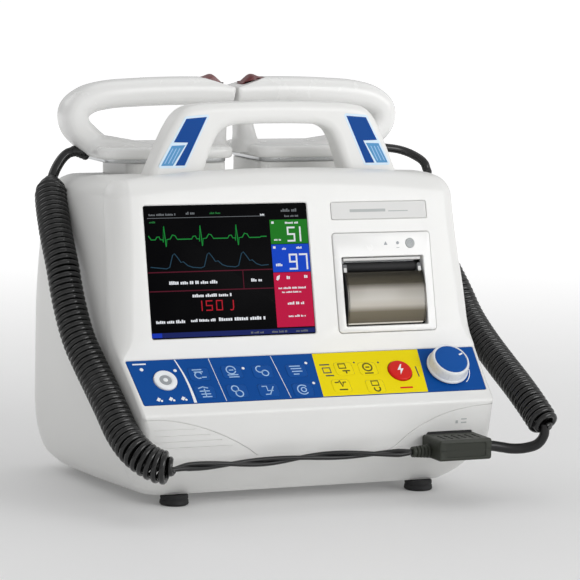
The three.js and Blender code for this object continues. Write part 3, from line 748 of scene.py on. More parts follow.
# rows of (z, value): half widths at front and rear, rear edge, front corner radius, and
# the angle in degrees at which the front corner starts
front_half = monotone([(8, 124), (16, 134), (28, 139.5), (45, 144.2), (60, 144.4),
                       (74.5, 143.4), (109.6, 146), (116, 146.6), (127, 147), (150, 146.5),
                       (178, 144.6), (200, 143.4), (218, 142.9), (250, 142)])
rear_half = monotone([(8, 136), (16, 144.2), (28, 148.6), (45, 151), (60, 152), (127, 152),
                      (150, 151.2), (178, 149.4), (200, 147.4), (218, 145.2), (250, 139.2)])
rear_edge = monotone([(8, 176), (16, 182.5), (28, 187.2), (45, 190), (185, 190),
                      (212, 188.5), (250, 183.5)])
front_corner = monotone([(8, 15), (40, 10), (66, 7.5), (73, 4.5), (110, 4.5), (116, 11),
                         (130, 19), (200, 21), (250, 21)])
crease = monotone([(8, 0), (68, 0), (74, 30), (110, 30), (116, 17), (250, 17)])
REAR_CORNER = 30
FLOOR_Z = 8
FLOOR_CENTRE_Y, TOP_CENTRE_Y = 95, 105


def front_y(z):
    return float(np.interp(z, FRONT_PROFILE[:, 1], FRONT_PROFILE[:, 0]))


def chin_y(x, z):
    """front surface at any x, with the corner rounding"""
    radius = front_corner(z)
    flat = front_half(z) - radius
    if abs(x) <= flat:
        return front_y(z)
    d = min(abs(x) - flat, radius - 0.01)
    return front_y(z) + radius - math.sqrt(radius * radius - d * d)


def crown(x, y):
    """height of the top: a crest at the handle that falls to the paddle deck behind"""
    crest = 245 - 6.5 * (abs(x) / 125)**2.2
    deck = 239 - 4 * (max(0.0, (abs(x) - 118) / 35))**2
    t = smoothstep(46, 60, y)
    return (crest * (1 - t) + deck * t
            - 7 * smoothstep(70, 150, y) - 4 * smoothstep(168, 190, y))


def stations(*counts):
    """(part, share along it, side) once around; counts are steps for each part of a half"""
    half = [("front", 0.0)]
    for part, n in zip(("front", "front corner", "side", "rear corner", "rear"), counts):
        half += [(part, s) for s in np.linspace(0, 1, n + 1)[1:]]
    return [(p, s, 1) for p, s in half] + [(p, s, -1) for p, s in half[1:-1][::-1]]


def outline(station, z, inset):
    """x, y and outward normal of a station at height z"""
    part, s, side = station
    yf = front_y(z) + 1.6 * inset
    wf, wr, yr = front_half(z) - inset, rear_half(z) - inset, rear_edge(z) - inset
    rf = max(1.5, front_corner(z) - inset)
    rr = REAR_CORNER - inset
    start = math.radians(crease(z))
    yc = yf + rf * math.cos(start)
    if part == "front":
        x, y, nx, ny = (wf - rf * (1 - math.sin(start))) * s, yf, 0, -1
    elif part == "front corner":
        a = start + s * (math.pi / 2 - start)
        nx, ny = math.sin(a), -math.cos(a)
        x, y = wf - rf + rf * nx, yc + rf * ny
    elif part == "side":
        x = wf + (wr - wf) * math.sin(s * math.pi / 2)
        y = yc + (yr - rr - yc) * s
        nx, ny = 1, 0
    elif part == "rear corner":
        a = s * math.pi / 2
        nx, ny = math.cos(a), math.sin(a)
        x, y = wr - rr + rr * nx, yr - rr + rr * ny
    else:
        x, y, nx, ny = (wr - rr) * (1 - s), yr, 0, 1
    return x * side, y, nx * side, ny


def top_edge(station, inset):
    """start angle and radius of the rounding into the top"""
    part, s, _ = station
    degrees, radius = {"front": (17, 17), "front corner": (17 * (1 - s), 17 - 5 * s),
                       "side": (0, 12 + 5 * s), "rear corner": (0, 17 + 2 * s),
                       "rear": (0, 19)}[part]
    return math.radians(degrees), radius - inset


def top_point(station, inset, turn):
    """point on the top rounding; turn runs from 0 at the wall to 1 on the crown"""
    start, radius = top_edge(station, inset)
    a = start + (math.pi / 2 - start) * turn
    inward = radius * (math.cos(start) - math.cos(a))
    z = 228.0
    for _ in range(8):
        x, y, nx, ny = outline(station, z, inset)
        x, y = x - nx * inward, y - ny * inward
        z = crown(x, y) - inset - radius * (1 - math.sin(a))
    return x, y, z


def body(inset, around, levels, turns, shrinks):
    """closed body: floor rings, wall rings at levels, top rounding, shrinking top rings"""
    floor = FLOOR_Z + inset
    foot = [outline(s, floor, inset)[:2] for s in around]
    rings = [[(x * k, FLOOR_CENTRE_Y + (y - FLOOR_CENTRE_Y) * k, floor) for x, y in foot]
             for k in (0.35, 0.7)]
    rings += [[(*outline(s, z, inset)[:2], z) for s in around] for z in [floor] + levels]
    rings += [[top_point(s, inset, turn) for s in around]
              for turn in np.linspace(0, 1, turns + 1)]
    edge = rings[-1]
    for k in shrinks:
        inner = [(x * k, TOP_CENTRE_Y + (y - TOP_CENTRE_Y) * k) for x, y, _ in edge]
        rings.append([(x, y, crown(x, y) - inset) for x, y in inner])
    vertices, faces = loft(rings, capped=False)
    n, count = len(around), len(vertices)
    vertices = np.vstack([vertices, (0, FLOOR_CENTRE_Y, floor),
                          (0, TOP_CENTRE_Y, crown(0, TOP_CENTRE_Y) - inset)])
    faces += [(count, (i + 1) % n, i) for i in range(n)]
    faces += [(count - n + i, count - n + (i + 1) % n, count + 1) for i in range(n)]
    return vertices, faces


def outer_levels():
    """wall ring heights, with those of the front profile and without near doubles"""
    levels = sorted(set(
        [9.5, 12, 16, 20, 24, 28, 32, 36, 53, 58, 64, 70, 74, 78, 86, 91, 96, 101, 106, 113, 118]
        + [float(z) for z in FRONT_PROFILE[1:-1, 1] if z > 9]
        + list(np.arange(124, 222, 7.0))))
    return levels[:1] + [z for below, z in zip(levels, levels[1:]) if z - below > 0.25]


outer_body = body(0.0, stations(10, 8, 20, 10, 8), outer_levels(), 9,
                  (0.9, 0.75, 0.6, 0.45, 0.3, 0.15))
front = make("front_shell", outer_body, "case_white")
rear = make("rear_shell", outer_body, "case_white")
inner = make("inner", body(WALL, stations(3, 3, 6, 4, 2),
                           [12, 28, 50, 74.5, 109.6, 150, 185, 212], 3, (0.7, 0.35)))
boolean(front, inner)
boolean(rear, inner)
discard(inner)


def half_space(y0, y1):
    """large box between y0 and y1 from the leaning parting plane"""
    return placed(box(-400, 400, y0, y1, -600, 600), lambda p: np.stack(
        [p[:, 0], 22 + p[:, 1] * COS_LEAN + p[:, 2] * SIN_LEAN,
         PANEL_Z - p[:, 1] * SIN_LEAN + p[:, 2] * COS_LEAN], 1))


cut(front, half_space(-400, -0.15), "INTERSECT")
cut(rear, half_space(0.15, 400), "INTERSECT")


# ------------------------------------------------------------------ front housing
def chin_groove(points, width, depth):
    """cutter for a groove of constant depth along (x, z) points on the chin"""
    P = curve([(x, 0, z) for x, z in points], 60)
    T = unit_tangents(P)
    N = np.stack([-T[:, 2], np.zeros(len(P)), T[:, 0]], 1)
    rings = []
    for p, n in zip(P, N):
        ring = []
        for share, dy in ((-0.7, -2.0), (0.7, -2.0), (0.12, depth), (-0.12, depth)):
            q = p + n * width * share
            ring.append((q[0], chin_y(q[0], q[2]) + dy, q[2]))
        rings.append(np.array(ring))
    return loft(rings)


cut(front, stack(rrect(SCREEN_LEFT - 0.25, SCREEN_RIGHT + 0.25, -0.25, SCREEN_HEIGHT + 0.25,
                       1.6), pocket(-14, 0, 0.7, 5), on_panel))
cut(front, stack(rrect(PRINTER_LEFT - 0.35, PRINTER_RIGHT + 0.35, -1.15, 75.25, 2.8),
                 pocket(-14, 0, 0.5, 5), on_panel))
cut(front, stack(rrect(32.1, 112.9, 85.3, 99, 1.6), pocket(-1.1, 0, 0.4, 5), on_panel))
keypad_recess = round_poly([(-139.7, 0.7), (139.7, 0.7), (142.9, 43.2), (-142.9, 43.2)], 1.5)
cut(front, stack(keypad_recess, pocket(-1.5, 0, 0.25, 5), on_keypad))
cut(front, prism([(-132.5, 3.4), (132.5, 3.4), (135.5, 40), (-135.5, 40)], -9, 5, on_keypad))
cut(front, prism(rrect(87.6, 126.4, 33.6, 51.4, 2.0), 16, 60, facing_front()))

# an arc at each corner of the chin, and four level lines under the left one, in (x, z)
LEFT_ARC = [(-141.5, 71.3), (-128, 70.9), (-114.3, 68.9), (-100, 65.2), (-85.8, 60.2),
            (-71, 53.4), (-57.6, 45.9), (-50, 40.5)]
RIGHT_ARC = [(50, 33.5), (63.7, 43), (71, 49.6), (79.3, 55.2), (90, 60.8), (102.8, 65.6),
             (121, 69.4), (141.5, 71.2)]
cut(front, chin_groove(LEFT_ARC, 1.0, 0.8))
cut(front, chin_groove(RIGHT_ARC, 1.0, 0.8))
arc_x, arc_z = np.array(LEFT_ARC[2:7][::-1]).T
for z in (63.4, 58.8, 54.2, 49.6):
    end = float(np.interp(z, arc_z, arc_x)) - 7
    cut(front, chin_groove([(-134, z), (-125, z), ((-125 + end) / 2, z), (end, z)], 1.1, 0.55))
weighted(front, 28)
put(front, "device", "housing_white", "front_housing")

# ------------------------------------------------------------------ rear housing
for x in (-55.5, 55.5):
    pad = rrect(x - 41.5, x + 41.5, 113, 175, 8)
    cut(rear, stack(pad, [(0, 228), (0, 242.8), (-0.8, 243.6)]), "UNION")
for opening in (rrect(19.5, 112.5, 21.5, 80.5, 2.2), rrect(-104.3, -69.7, 35.7, 62.3, 2.5)):
    cut(rear, stack(opening, pocket(160, REAR_Y, 0.6, 205), facing_rear))
for x, z in SCREWS:
    cut(rear, stack(circle(x, z, 4.6, 40), pocket(170, REAR_Y, 0.6, 205), facing_rear))
SLOT = pocket(175, REAR_Y, 0.5, 205)
cut(rear, merge([stack(rrect(x - 1.5, x + 1.5, 150, 186, 1.45, 5), SLOT, facing_rear)
                 for x in range(-40, 41, 10)]))
cut(rear, prism(rrect(-104, -32, 92, 128, 2), 189.5, 205, facing_rear))
cut(rear, merge([stack(rrect(28, 84, z - 1.4, z + 1.4, 1.35, 5), SLOT, facing_rear)
                 for z in range(96, 129, 8)]))
weighted(rear, 28)
put(rear, "device", "housing_white", "rear_housing")
label = stack(rrect(-103, -33, 93, 127, 1.6), [(0, 189.7), (-0.1, 189.95)], facing_rear)
put(make("rating_label", label, "plate_grey"), "device", "plate_grey")

# ------------------------------------------------------------------ carry handle
on_handle = facing_front(HANDLE_Y)
# right half of the arch in (x, z), from the foot to the middle
ARCH_OUTER = [(109.2, 226), (103, 240), (91.5, 266), (86.6, 275.6), (81, 284.0), (74, 289.6),
              (63, 292.2), (40, 293.6), (0, 294.3)]
ARCH_INNER = [(63.2, 226), (59, 240), (54.6, 253), (50, 264.5), (45, 272), (36, 276.3),
              (20, 277.4), (0, 277.6)]


def arch_line(half):
    return curve(half + [(-x, z) for x, z in half[:-1][::-1]], 120)


def handle_bar():
    arch = np.vstack([arch_line(ARCH_OUTER), arch_line(ARCH_INNER)[::-1]])
    quarter = [math.pi / 2 * k / 8 for k in range(9)]
    # (outward offset, height): rear edge rounding, then front edge rounding
    layers = [(-8.0 * (1 - math.sin(a)), -26 + 10.5 * (1 - math.cos(a))) for a in quarter]
    layers += [(-6.8 * (1 - math.sin(a)), -5.2 * (1 - math.cos(a))) for a in quarter[::-1]]
    vertices, faces = loft([on_handle(np.column_stack([offset(arch, o), np.full(len(arch), h)]))
                            for o, h in layers], capped=False)
    # the end faces are strips of quads between the outer and inner lines
    end = len(arch) - 1
    last = (len(layers) - 1) * len(arch)
    for i in range(len(arch) // 2 - 1):
        faces.append((i, i + 1, end - 1 - i, end - i))
        faces.append((last + i, last + end - i, last + end - 1 - i, last + i + 1))
    bar = make("handle_bar", (vertices, faces), "case_white", 40)
    weighted(bar, 40)
    put(bar, "device", "housing_white", "carry_handle")


# corners of the left inlay in (x, z)
INLAY_CORNERS = np.array([[(-95.0, 246.4), (-75.2, 246.4)],       # bottom: outer, inner
                          [(-74.6, 282.6), (-57.2, 284.0)]])      # top: outer, inner


def inlay(side, sign):
    """panel of blue fields on one shoulder of the handle"""
    (bottom_out, bottom_in), (top_out, top_in) = INLAY_CORNERS

    def field(*shares):
        """polygon from (share up, share inwards) of the inlay"""
        P = np.array([(bottom_out * (1 - u) + top_out * u) * (1 - w)
                      + (bottom_in * (1 - u) + top_in * u) * w for u, w in shares])
        return ccw(P * (-sign, 1))

    def flat(points):
        return prism(points, 0.05, 0.16, on_handle)

    whole = round_poly(field((0, 0), (0, 1), (1, 1), (1, 0)), 0.9, 3)
    parts = [
        (stack(offset(whole, 1.3), [(0, -1.4), (0, 0.02), (-0.08, 0.1)], on_handle),
         "inlay_rim"),
        (flat(field((0.50, 0.02), (0.48, 0.665), (0.985, 0.69), (0.985, 0.02))), "inlay_blue"),
        (flat(field((0.015, 0.60), (0.015, 0.985), (0.985, 0.98), (0.985, 0.69),
                    (0.48, 0.665))), "inlay_blue"),
        (flat(field((0.015, 0.02), (0.015, 0.50), (0.43, 0.60), (0.43, 0.02))),
         "inlay_pale_blue")]
    for k in range(3):
        w = 0.10 + 0.15 * k
        stripe = field((0.06, w), (0.06, w + 0.04), (0.37, w + 0.05), (0.37, w + 0.01))
        parts.append((prism(stripe, 0.1, 0.19, on_handle), "print_pale"))
    put(multi("inlay_" + side, parts), "device", "inlay_blue", "handle_inlay_" + side)


handle_bar()
inlay("left", -1)
inlay("right", 1)

# ------------------------------------------------------------------ paddles
# centre lines of the left paddle in (x, z): grip from its inner end, and inner post
GRIP = [(-1.2, 296.2), (-12, 296.6), (-45, 297), (-80, 296), (-106, 294), (-121, 290),
        (-130.5, 282), (-129.5, 271), (-121, 262), (-110, 253)]
POST = [(-11.6, 296), (-11.2, 285), (-11.0, 274), (-12.4, 264), (-14.5, 250)]
# body between grip and head: x, top z, half depth
FAIRING = [(-121.2, 258.8, 14), (-119.6, 262, 17.5), (-112, 263.6, 20), (-100, 262.4, 22.5),
           (-88, 260.2, 26), (-74, 257.8, 29), (-60, 255.4, 31), (-46, 253.5, 31)]
FAIRING_FOOT = 247.6
# side view of the discharge button in (x, z), left paddle
BUTTON = [(-26.5, 301.4), (-8.0, 301.4), (-8.0, 303.2), (-10.2, 305.2), (-14.4, 308.8),
          (-16.6, 310.1), (-18.8, 310.0), (-22.2, 308.6), (-26.5, 307.6)]
BUTTON_LAYERS = [(-2.6, -7.2), (-1.9, -7.0), (-1.1, -5.8), (-0.4, -3.6), (0, -1.2),
                 (0, 1.2), (-0.4, 3.6), (-1.1, 5.8), (-1.9, 7.0), (-2.6, 7.2)]
# cord gland: radius, distance from the paddle
GLAND = [(0, 0), (7.0, 0), (7.4, 1.2), (6.9, 3.0), (6.2, 3.4), (6.1, 4.2), (5.8, 5.6),
         (5.1, 6.0), (5.0, 6.8), (4.7, 8.2), (4.2, 8.6), (4.2, 9.4), (4.0, 11.4), (3.5, 12.2),
         (0, 12.2)]


def sweep(path, half_height, half_depth, steps, around, squareness, mirror):
    """superellipse section along (x, z) points; half sizes are (shares, values)"""
    P = curve([(x * mirror, 0.0, z) for x, z in path], steps)
    across, along_y = superellipse(around, 2 / squareness)
    rings = []
    for i, (p, t) in enumerate(zip(P, unit_tangents(P))):
        normal = np.array([-t[2], 0, t[0]])
        height = float(np.interp(i / steps, *half_height))
        depth = float(np.interp(i / steps, *half_depth))
        rings.append(p + np.array([0, PADDLE_Y, 0]) + np.outer(across * height, normal)
                     + np.outer(along_y * depth, (0, 1, 0)))
    return loft(rings)


def fairing(mirror):
    across, upward = superellipse(40, 0.7)
    rings = []
    for x, top, depth in FAIRING:
        half = (top - FAIRING_FOOT) / 2
        rings.append(np.stack([np.full(40, x * mirror), PADDLE_Y + across * depth,
                               FAIRING_FOOT + half + upward * half], 1))
    return loft(rings)


def paddle(name, side):
    mirror = -side
    side_view = facing_front(PADDLE_Y)

    def mirrored(points):
        return ccw(np.array(points) * (mirror, 1))

    def span_x(a, b):
        return sorted((mirror * a, mirror * b))

    head_x = side * 64.5
    shell = make("paddle_%s_shell" % name, sweep(
        GRIP, ([0, 0.08, 0.6, 0.75, 1], [9.6, 11.2, 11, 10.8, 10.5]),
        ([0, 0.6, 1], [15, 15, 15]), 80, 44, 2.7, mirror))
    post = sweep(POST, ([0, 0.5, 0.75, 0.9, 1], [7, 6.6, 7.6, 9.8, 13]),
                 ([0, 0.5, 0.8, 1], [11, 11, 13.5, 19]), 30, 40, 2.8, mirror)
    head = stack(rrect(head_x - 55.5, head_x + 55.5, 107, 183, 12, 8),
                 [(-2.4, 246.7), (-0.6, 247.6), (0, 249), (0, 253.4), (-0.8, 255.2),
                  (-2.4, 256.0)])
    for mesh in (post, head, fairing(mirror)):
        cut(shell, mesh, "UNION")
    # remesh and smooth, so that the joins blend
    apply_modifier(shell, "REMESH", mode="VOXEL", voxel_size=0.0012, adaptivity=0.0)
    apply_modifier(shell, "SMOOTH", factor=0.5, iterations=7)
    shell.data.materials.clear()
    shell.data.materials.append(MAT["paddle_white"])
    # flat underside, flat inner end, slanted top over the end, slot for the button
    cut(shell, box(-200, 200, 80, 220, 230, 246.7))
    cut(shell, box(*span_x(-1.0, 30.0), 80, 220, 262, 330))
    wedge = mirrored([(-27.0, 330), (-27.0, 308.0), (0.5, 299.6), (0.5, 330)])
    cut(shell, prism(wedge, -40, 40, side_view))
    cut(shell, prism(rrect(*span_x(-26.9, -7.6), 137.4, 152.6, 2.2), 299, 330))
    # slanting seam across the grip: only the skin outside a thinner grip is cut
    seam = make("seam", prism(mirrored([(-25.9, 306.6), (-25.1, 305.8), (-4.2, 285.6),
                                        (-5.0, 286.4)]), -40, 40, side_view))
    cut(seam, sweep(GRIP, ([0, 0.08, 0.6, 1], [8.6, 10.1, 9.9, 9.6]),
                    ([0, 1], [14.0, 14.0]), 60, 40, 2.7, mirror))
    boolean(shell, seam)
    discard(seam)
    weighted(shell, 42)
    body_name = "paddle_" + name
    put(shell, body_name, "housing_white", body_name + "_head", body_name + "_handle")

    plate = stack(rrect(head_x - 50, head_x + 50, 111, 179, 9, 8),
                  [(-0.9, 243.9), (-0.3, 244.0), (0, 244.4), (0, 246.9)])
    put(make("electrode_" + name, plate, "electrode_steel", 40), body_name,
        "electrode_steel", body_name + "_electrode")
    button = stack(round_poly(mirrored(BUTTON), 0.6, 3), BUTTON_LAYERS, side_view)
    put(make("discharge_cap_" + name, button, "discharge_red", 35),
        "discharge_button_" + name, "discharge_red", body_name + "_button")
    gland = lathe(rounded(GLAND, 0.35, 3), lambda p: np.stack(
        [side * (119.2 + p[:, 2]), PADDLE_Y + p[:, 0] + p[:, 2] * 0.09,
         251.2 + p[:, 1] - p[:, 2] * 0.03], 1), 36)
    put(make("cord_gland_" + name, gland, "cord_black", 40), body_name, "cord_black")


paddle("left", -1)
paddle("right", 1)

# ------------------------------------------------------------------ cords
# centre lines from the paddle down to the front
LEFT_CORD = [(-127.5, 146.2, 250.7), (-133, 147.5, 249.4), (-139.5, 146, 244.4),
             (-147, 143, 233), (-154, 128, 219), (-160, 102, 196.5), (-163.2, 76, 170.8),
             (-164, 59.3, 146.1), (-163, 40, 121), (-160.5, 24, 105), (-158, 8, 91),
             (-156.8, -12, 77), (-155, -34, 60.5), (-150, -50.5, 49.5), (-140, -61, 42),
             (-129.5, -68, 39.5)]
RIGHT_CORD = [(127.5, 146.2, 250.7), (138, 145.6, 250.2), (150, 145, 248.4),
              (160, 141.5, 244.6), (166.5, 133, 238), (166.5, 129, 226), (163.5, 127, 208),
              (164.2, 114, 184), (165.6, 92, 161), (166, 68, 142), (166.2, 48, 125),
              (166.4, 23, 110), (167, -8, 94.5), (168, -30, 83.5), (169, -50, 72.5),
              (172, -73, 56)]
LINK = [(-132, -66.5, 38.6), (-126, -65.5, 39.3), (-118, -63, 39.8), (-94, -56, 38.7),
        (-51, -49, 37.7), (-7, -46.6, 39), (42, -48.6, 38.7), (60, -51, 38.9), (72, -52, 39.2)]
TAIL = [(171, -71.5, 59), (171.5, -70, 50), (168.5, -65.5, 42.5), (161, -59.5, 38.8),
        (152, -56, 38.2), (144, -54, 39.4), (136, -53, 40.7), (128, -53, 41)]
TURN_STEPS = 22


def coil(name, path, coil_start, coil_full, lead_radius, wire_radius, helix_radius, pitch,
         phase=0.0):
    """straight lead that winds into a helix between two shares of the path"""
    P, length = curve_and_length(path, 400)
    N, B = normals_along(P)
    shares = np.linspace(0, 1, len(P))

    def sample(columns, q):
        return np.array([np.interp(q, shares, column) for column in columns.T])

    lead = np.linspace(0, coil_start, int(coil_start * length / 3), endpoint=False)
    points = [sample(P, q) for q in lead]
    radii = [lead_radius] * len(points)
    angle, q = phase, coil_start
    step = pitch / length / TURN_STEPS
    while q < 1.0:
        grown = smoothstep(coil_start, coil_full, q)
        helix = helix_radius * grown * (1 - 0.75 * smoothstep(0.98, 1.0, q))
        points.append(sample(P, q) + helix * (math.cos(angle) * sample(N, q)
                                              + math.sin(angle) * sample(B, q)))
        radii.append(lead_radius + (wire_radius - lead_radius) * grown)
        angle += 2 * math.pi / TURN_STEPS
        # the first turns are looser
        q += step * (1 if grown > 0.35 else 3.0 - 5.7 * grown)
    return make(name, tube(np.array(points), np.array(radii), 10), "cord_black", 60)


def twin_lead(name, path, radius, gap, turns, n=150):
    """two thin leads lying along each other and slowly twisting"""
    P = curve(path, n)
    N, B = normals_along(P)
    # the gap closes at both ends
    apart = np.minimum(1, np.linspace(0, 12, n + 1)) * np.minimum(1, np.linspace(16, 0, n + 1))
    leads = []
    for k in (0, 1):
        a = math.pi * k + np.linspace(0, 2 * math.pi * turns, n + 1)
        leads.append(tube(P + (np.cos(a) * gap * apart)[:, None] * N
                          + (np.sin(a) * gap * apart)[:, None] * B, radius, 12))
    return make(name, merge(leads), "lead_black", 60)


def blend(ob):
    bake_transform(ob)


left_coil = coil("coil_left", LEFT_CORD, coil_start=0.085, coil_full=0.15, lead_radius=4.0,
                 wire_radius=2.3, helix_radius=10.4, pitch=4.7)
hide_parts("cord_left")
blend(left_coil)
right_coil = coil("coil_right", RIGHT_CORD, coil_start=0.14, coil_full=0.25, lead_radius=3.5,
                  wire_radius=2.25, helix_radius=9.7, pitch=4.6, phase=1.2)
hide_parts("cord_right")
blend(right_coil)
link_lead = twin_lead("link_lead", LINK, radius=1.75, gap=1.72, turns=1.75)
blend(link_lead)
tail_radii = np.interp(np.linspace(0, 1, 61), [0, 0.3, 1], [3.4, 3.9, 4.0])
tail_lead = make("tail_lead", tube(curve(TAIL, 60), tail_radii, 18), "lead_black", 60)
blend(tail_lead)


# ------------------------------------------------------------------ plug and socket
def strain_relief(ribs, start_radius, end_radius, length):
    """ribbed sleeve profile in (radius, distance out)"""
    profile = [(0, 0), (start_radius, 0)]
    for i in range(ribs):
        at = 1.5 + (length - 2.5) * i / ribs
        r = start_radius + (end_radius - start_radius) * i / ribs
        profile += [(r, at), (r - 0.9, at + 0.2), (r - 0.9, at + 0.9), (r, at + 1.1)]
    profile += [(end_radius, length - 0.4), (end_radius - 0.5, length), (0, length)]
    return rounded(profile, 0.25, 2)


def cable_plug():
    on_plug = facing_front(-55.15)
    plug = make("plug_shell", stack(
        rrect(83.5, 127.5, 33.9, 49.9, 2.0, 5),
        [(-1.6, -15.35), (-0.4, -14.9), (0, -13.8), (0, 13.4), (-0.5, 14.7), (-1.8, 15.35)],
        on_plug), "connector_grey", 35)
    # front face: level groove and shallow panel; top: cross ribs and a groove
    cut(plug, prism(rrect(82, 132, 41.6, 42.2, 0.2, 2), 14.8, 22, on_plug))
    cut(plug, stack(rrect(89, 122, 36.8, 47.0, 1.6, 4), [(0, 14.85), (0.3, 15.4), (0.3, 22)],
                    on_plug))
    cut(plug, merge([prism(rrect(x - 0.9, x + 0.9, -65.0, -50.0, 0.85, 3), 49.3, 60)
                     for x in (91 + i * 5.8 for i in range(6))]))
    cut(plug, prism(rrect(82, 129, -46.6, -45.8, 0.25, 2), 49.2, 60))
    cut(plug, lathe(strain_relief(5, 5.2, 4.0, 16.3), sideways(-1, 85.5, -52, 39.2), 32),
        "UNION")
    cut(plug, lathe(strain_relief(1, 5.4, 4.9, 4.4), sideways(1, 126.5, -53, 41), 32),
        "UNION")
    cut(plug, prism(rrect(93, 121, 38.4, 46, 1.2, 3), -24.1, -14.1, on_plug), "UNION")
    plug.data.materials.clear()
    plug.data.materials.append(MAT["connector_grey"])
    weighted(plug, 35)
    put(plug, "cable_plug", "connector_grey", "cable_plug")


def plug_socket():
    place = facing_front()
    shell = make("socket_shell", stack(rrect(88, 126, 34, 51, 1.6, 4),
                                       [(0, 18), (0, 38.6), (-0.4, 39)], place),
                 "black_plastic", 35)
    cut(shell, stack(rrect(92.6, 121.4, 38, 46.4, 1.2, 3), pocket(30.4, 39, 0.5, 45), place))
    put(shell, "device", "black_plastic", "plug_socket")
    contacts = merge([disc(96.5 + 3.6 * i, z, 0.55, 30.2, 30.36, 10, place)
                      for i in range(7) for z in (40.4, 44.0)])
    put(make("socket_contacts", contacts, "contact_brass", 40), "device", "zinc_steel")


cable_plug()
plug_socket()

# ------------------------------------------------------------------ feet, screws, chin mark
FOOT = rounded([(0, 1.6), (4.2, 1.6), (4.6, 0.0), (9.8, 0.0), (11, 1.2), (10.6, 4.0),
                (10.2, 4.3), (10.2, 4.9), (10.5, 5.2), (10.4, 7.7), (0, 7.7)], 0.5, 3)
for node, x, y in (("foot_front_left", -101, -1), ("foot_front_right", 101, -1),
                   ("foot_rear_left", -104, 150), ("foot_rear_right", 104, 150)):
    foot = lathe(FOOT, shifted(as_drawn, x, y), 48)
    put(make(node + "_pad", foot, "foot_rubber", 35), "device", "black_rubber", node)

SCREW = rounded([(0, -6), (1.9, -6), (1.9, -1.5), (4, -1.5), (4, 0.9), (2.6, 1.9), (0, 2.0)],
                0.35, 3)
CROSS_ARM = np.array([(-2.3, -0.45), (2.3, -0.45), (2.3, 0.45), (-2.3, 0.45)])
for i, (x, z) in enumerate(SCREWS):
    screw = make("screw_%d" % (i + 1), lathe(SCREW, shifted(facing_rear, x, z, 187.5), 32),
                 "zinc_steel", 35)
    for degrees in (0, 90):
        a = math.radians(degrees + 12 * i)
        turn = np.array([(math.cos(a), math.sin(a)), (-math.sin(a), math.cos(a))])
        cut(screw, prism(CROSS_ARM @ turn + (x, z), 188.2, 195, facing_rear))
    put(screw, "device", "zinc_steel", "housing_screw_%d" % (i + 1))

mark_bars = []
for x0, x1, z0, z1 in ((111.4, 113.4, 57.0, 60.6), (116.0, 120.6, 57.0, 57.9),
                       (116.0, 120.6, 59.7, 60.6)):
    y = chin_y((x0 + x1) / 2, (z0 + z1) / 2)
    mark_bars.append(box(x0, x1, y - 0.06, y + 0.4, z0, z1))
put(make("chin_mark", merge(mark_bars), "print_mid_grey", 20), "device", "plate_grey")

# ------------------------------------------------------------------ screen
pane = stack(rrect(SCREEN_LEFT, SCREEN_RIGHT, 0, SCREEN_HEIGHT, 1.2),
             [(0, -4.6), (0, -0.9), (-0.35, -0.7)], on_panel)
put(make("screen_pane", pane, "screen_glass"), "device", "screen_glass", "display_window")

# object suffix: material name, emitted colour
LIT = {"green": ("lit_green", (0.008, 0.165, 0.010)),
       "ecg": ("lit_trace", (0.006, 0.20, 0.03)),
       "dgreen": ("lit_dark_green", (0.012, 0.14, 0.03)),
       "blue": ("lit_blue", (0.002, 0.052, 0.50)),
       "crimson": ("lit_crimson", (0.46, 0.003, 0.045)),
       "white": ("lit_white", (0.70, 0.72, 0.76)),
       "dim": ("lit_dim", (0.13, 0.14, 0.15)),
       "pleth": ("lit_pleth", (0.012, 0.045, 0.075)),
       "wine": ("lit_wine", (0.075, 0.003, 0.014)),
       "red": ("lit_red", (0.42, 0.008, 0.02)),
       "navy": ("lit_navy", (0.005, 0.012, 0.10)),
       "mid": ("lit_blue_end", (0.004, 0.03, 0.40))}
for name, colour in LIT.values():
    glow(name, colour)
LIT_BACK, LOW, HIGH = -0.72, -0.62, -0.56       # heights; HIGH lies over LOW fields
lit_parts = {key: [] for key in LIT}
# bars of a seven-bar figure: a top, b c right, d bottom, e f left, g middle
BARS = {"0": "abcdef", "1": "bc", "5": "afgcd", "7": "abc", "9": "abcdfg"}


# across and up are shares of the screen's width and height
def on_screen(across, up):
    return SCREEN_LEFT + SCREEN_WIDTH * across, SCREEN_HEIGHT * up


def field(colour, left, right, bottom, top, height=LOW):
    x0, y0 = on_screen(left, bottom)
    x1, y1 = on_screen(right, top)
    lit_parts[colour].append(block(x0, x1, y0, y1, LIT_BACK, height, place=on_panel))


def trace(colour, points, width, height=LOW):
    line = ribbon([on_screen(*p) for p in points], width, LIT_BACK, height)
    lit_parts[colour].append(placed(line, on_panel))


def words(height, rows):
    """lines of text as plain bars; rows of (colour, left, right, bottom, size in mm, seed)"""
    for colour, left, right, bottom, size, seed in rows:
        rng = np.random.RandomState(seed)
        advance = size * 0.62 / SCREEN_WIDTH
        at = left
        full = False
        while at < right - 0.01 and not full:
            for _ in range(rng.randint(2, 7)):
                tall = rng.uniform(0.55, 1.0)
                full = at + advance > right
                if full:
                    break
                field(colour, at, at + advance * 0.78, bottom,
                      bottom + size * tall / SCREEN_HEIGHT, height)
                at += advance
            at += size * 0.5 / SCREEN_WIDTH


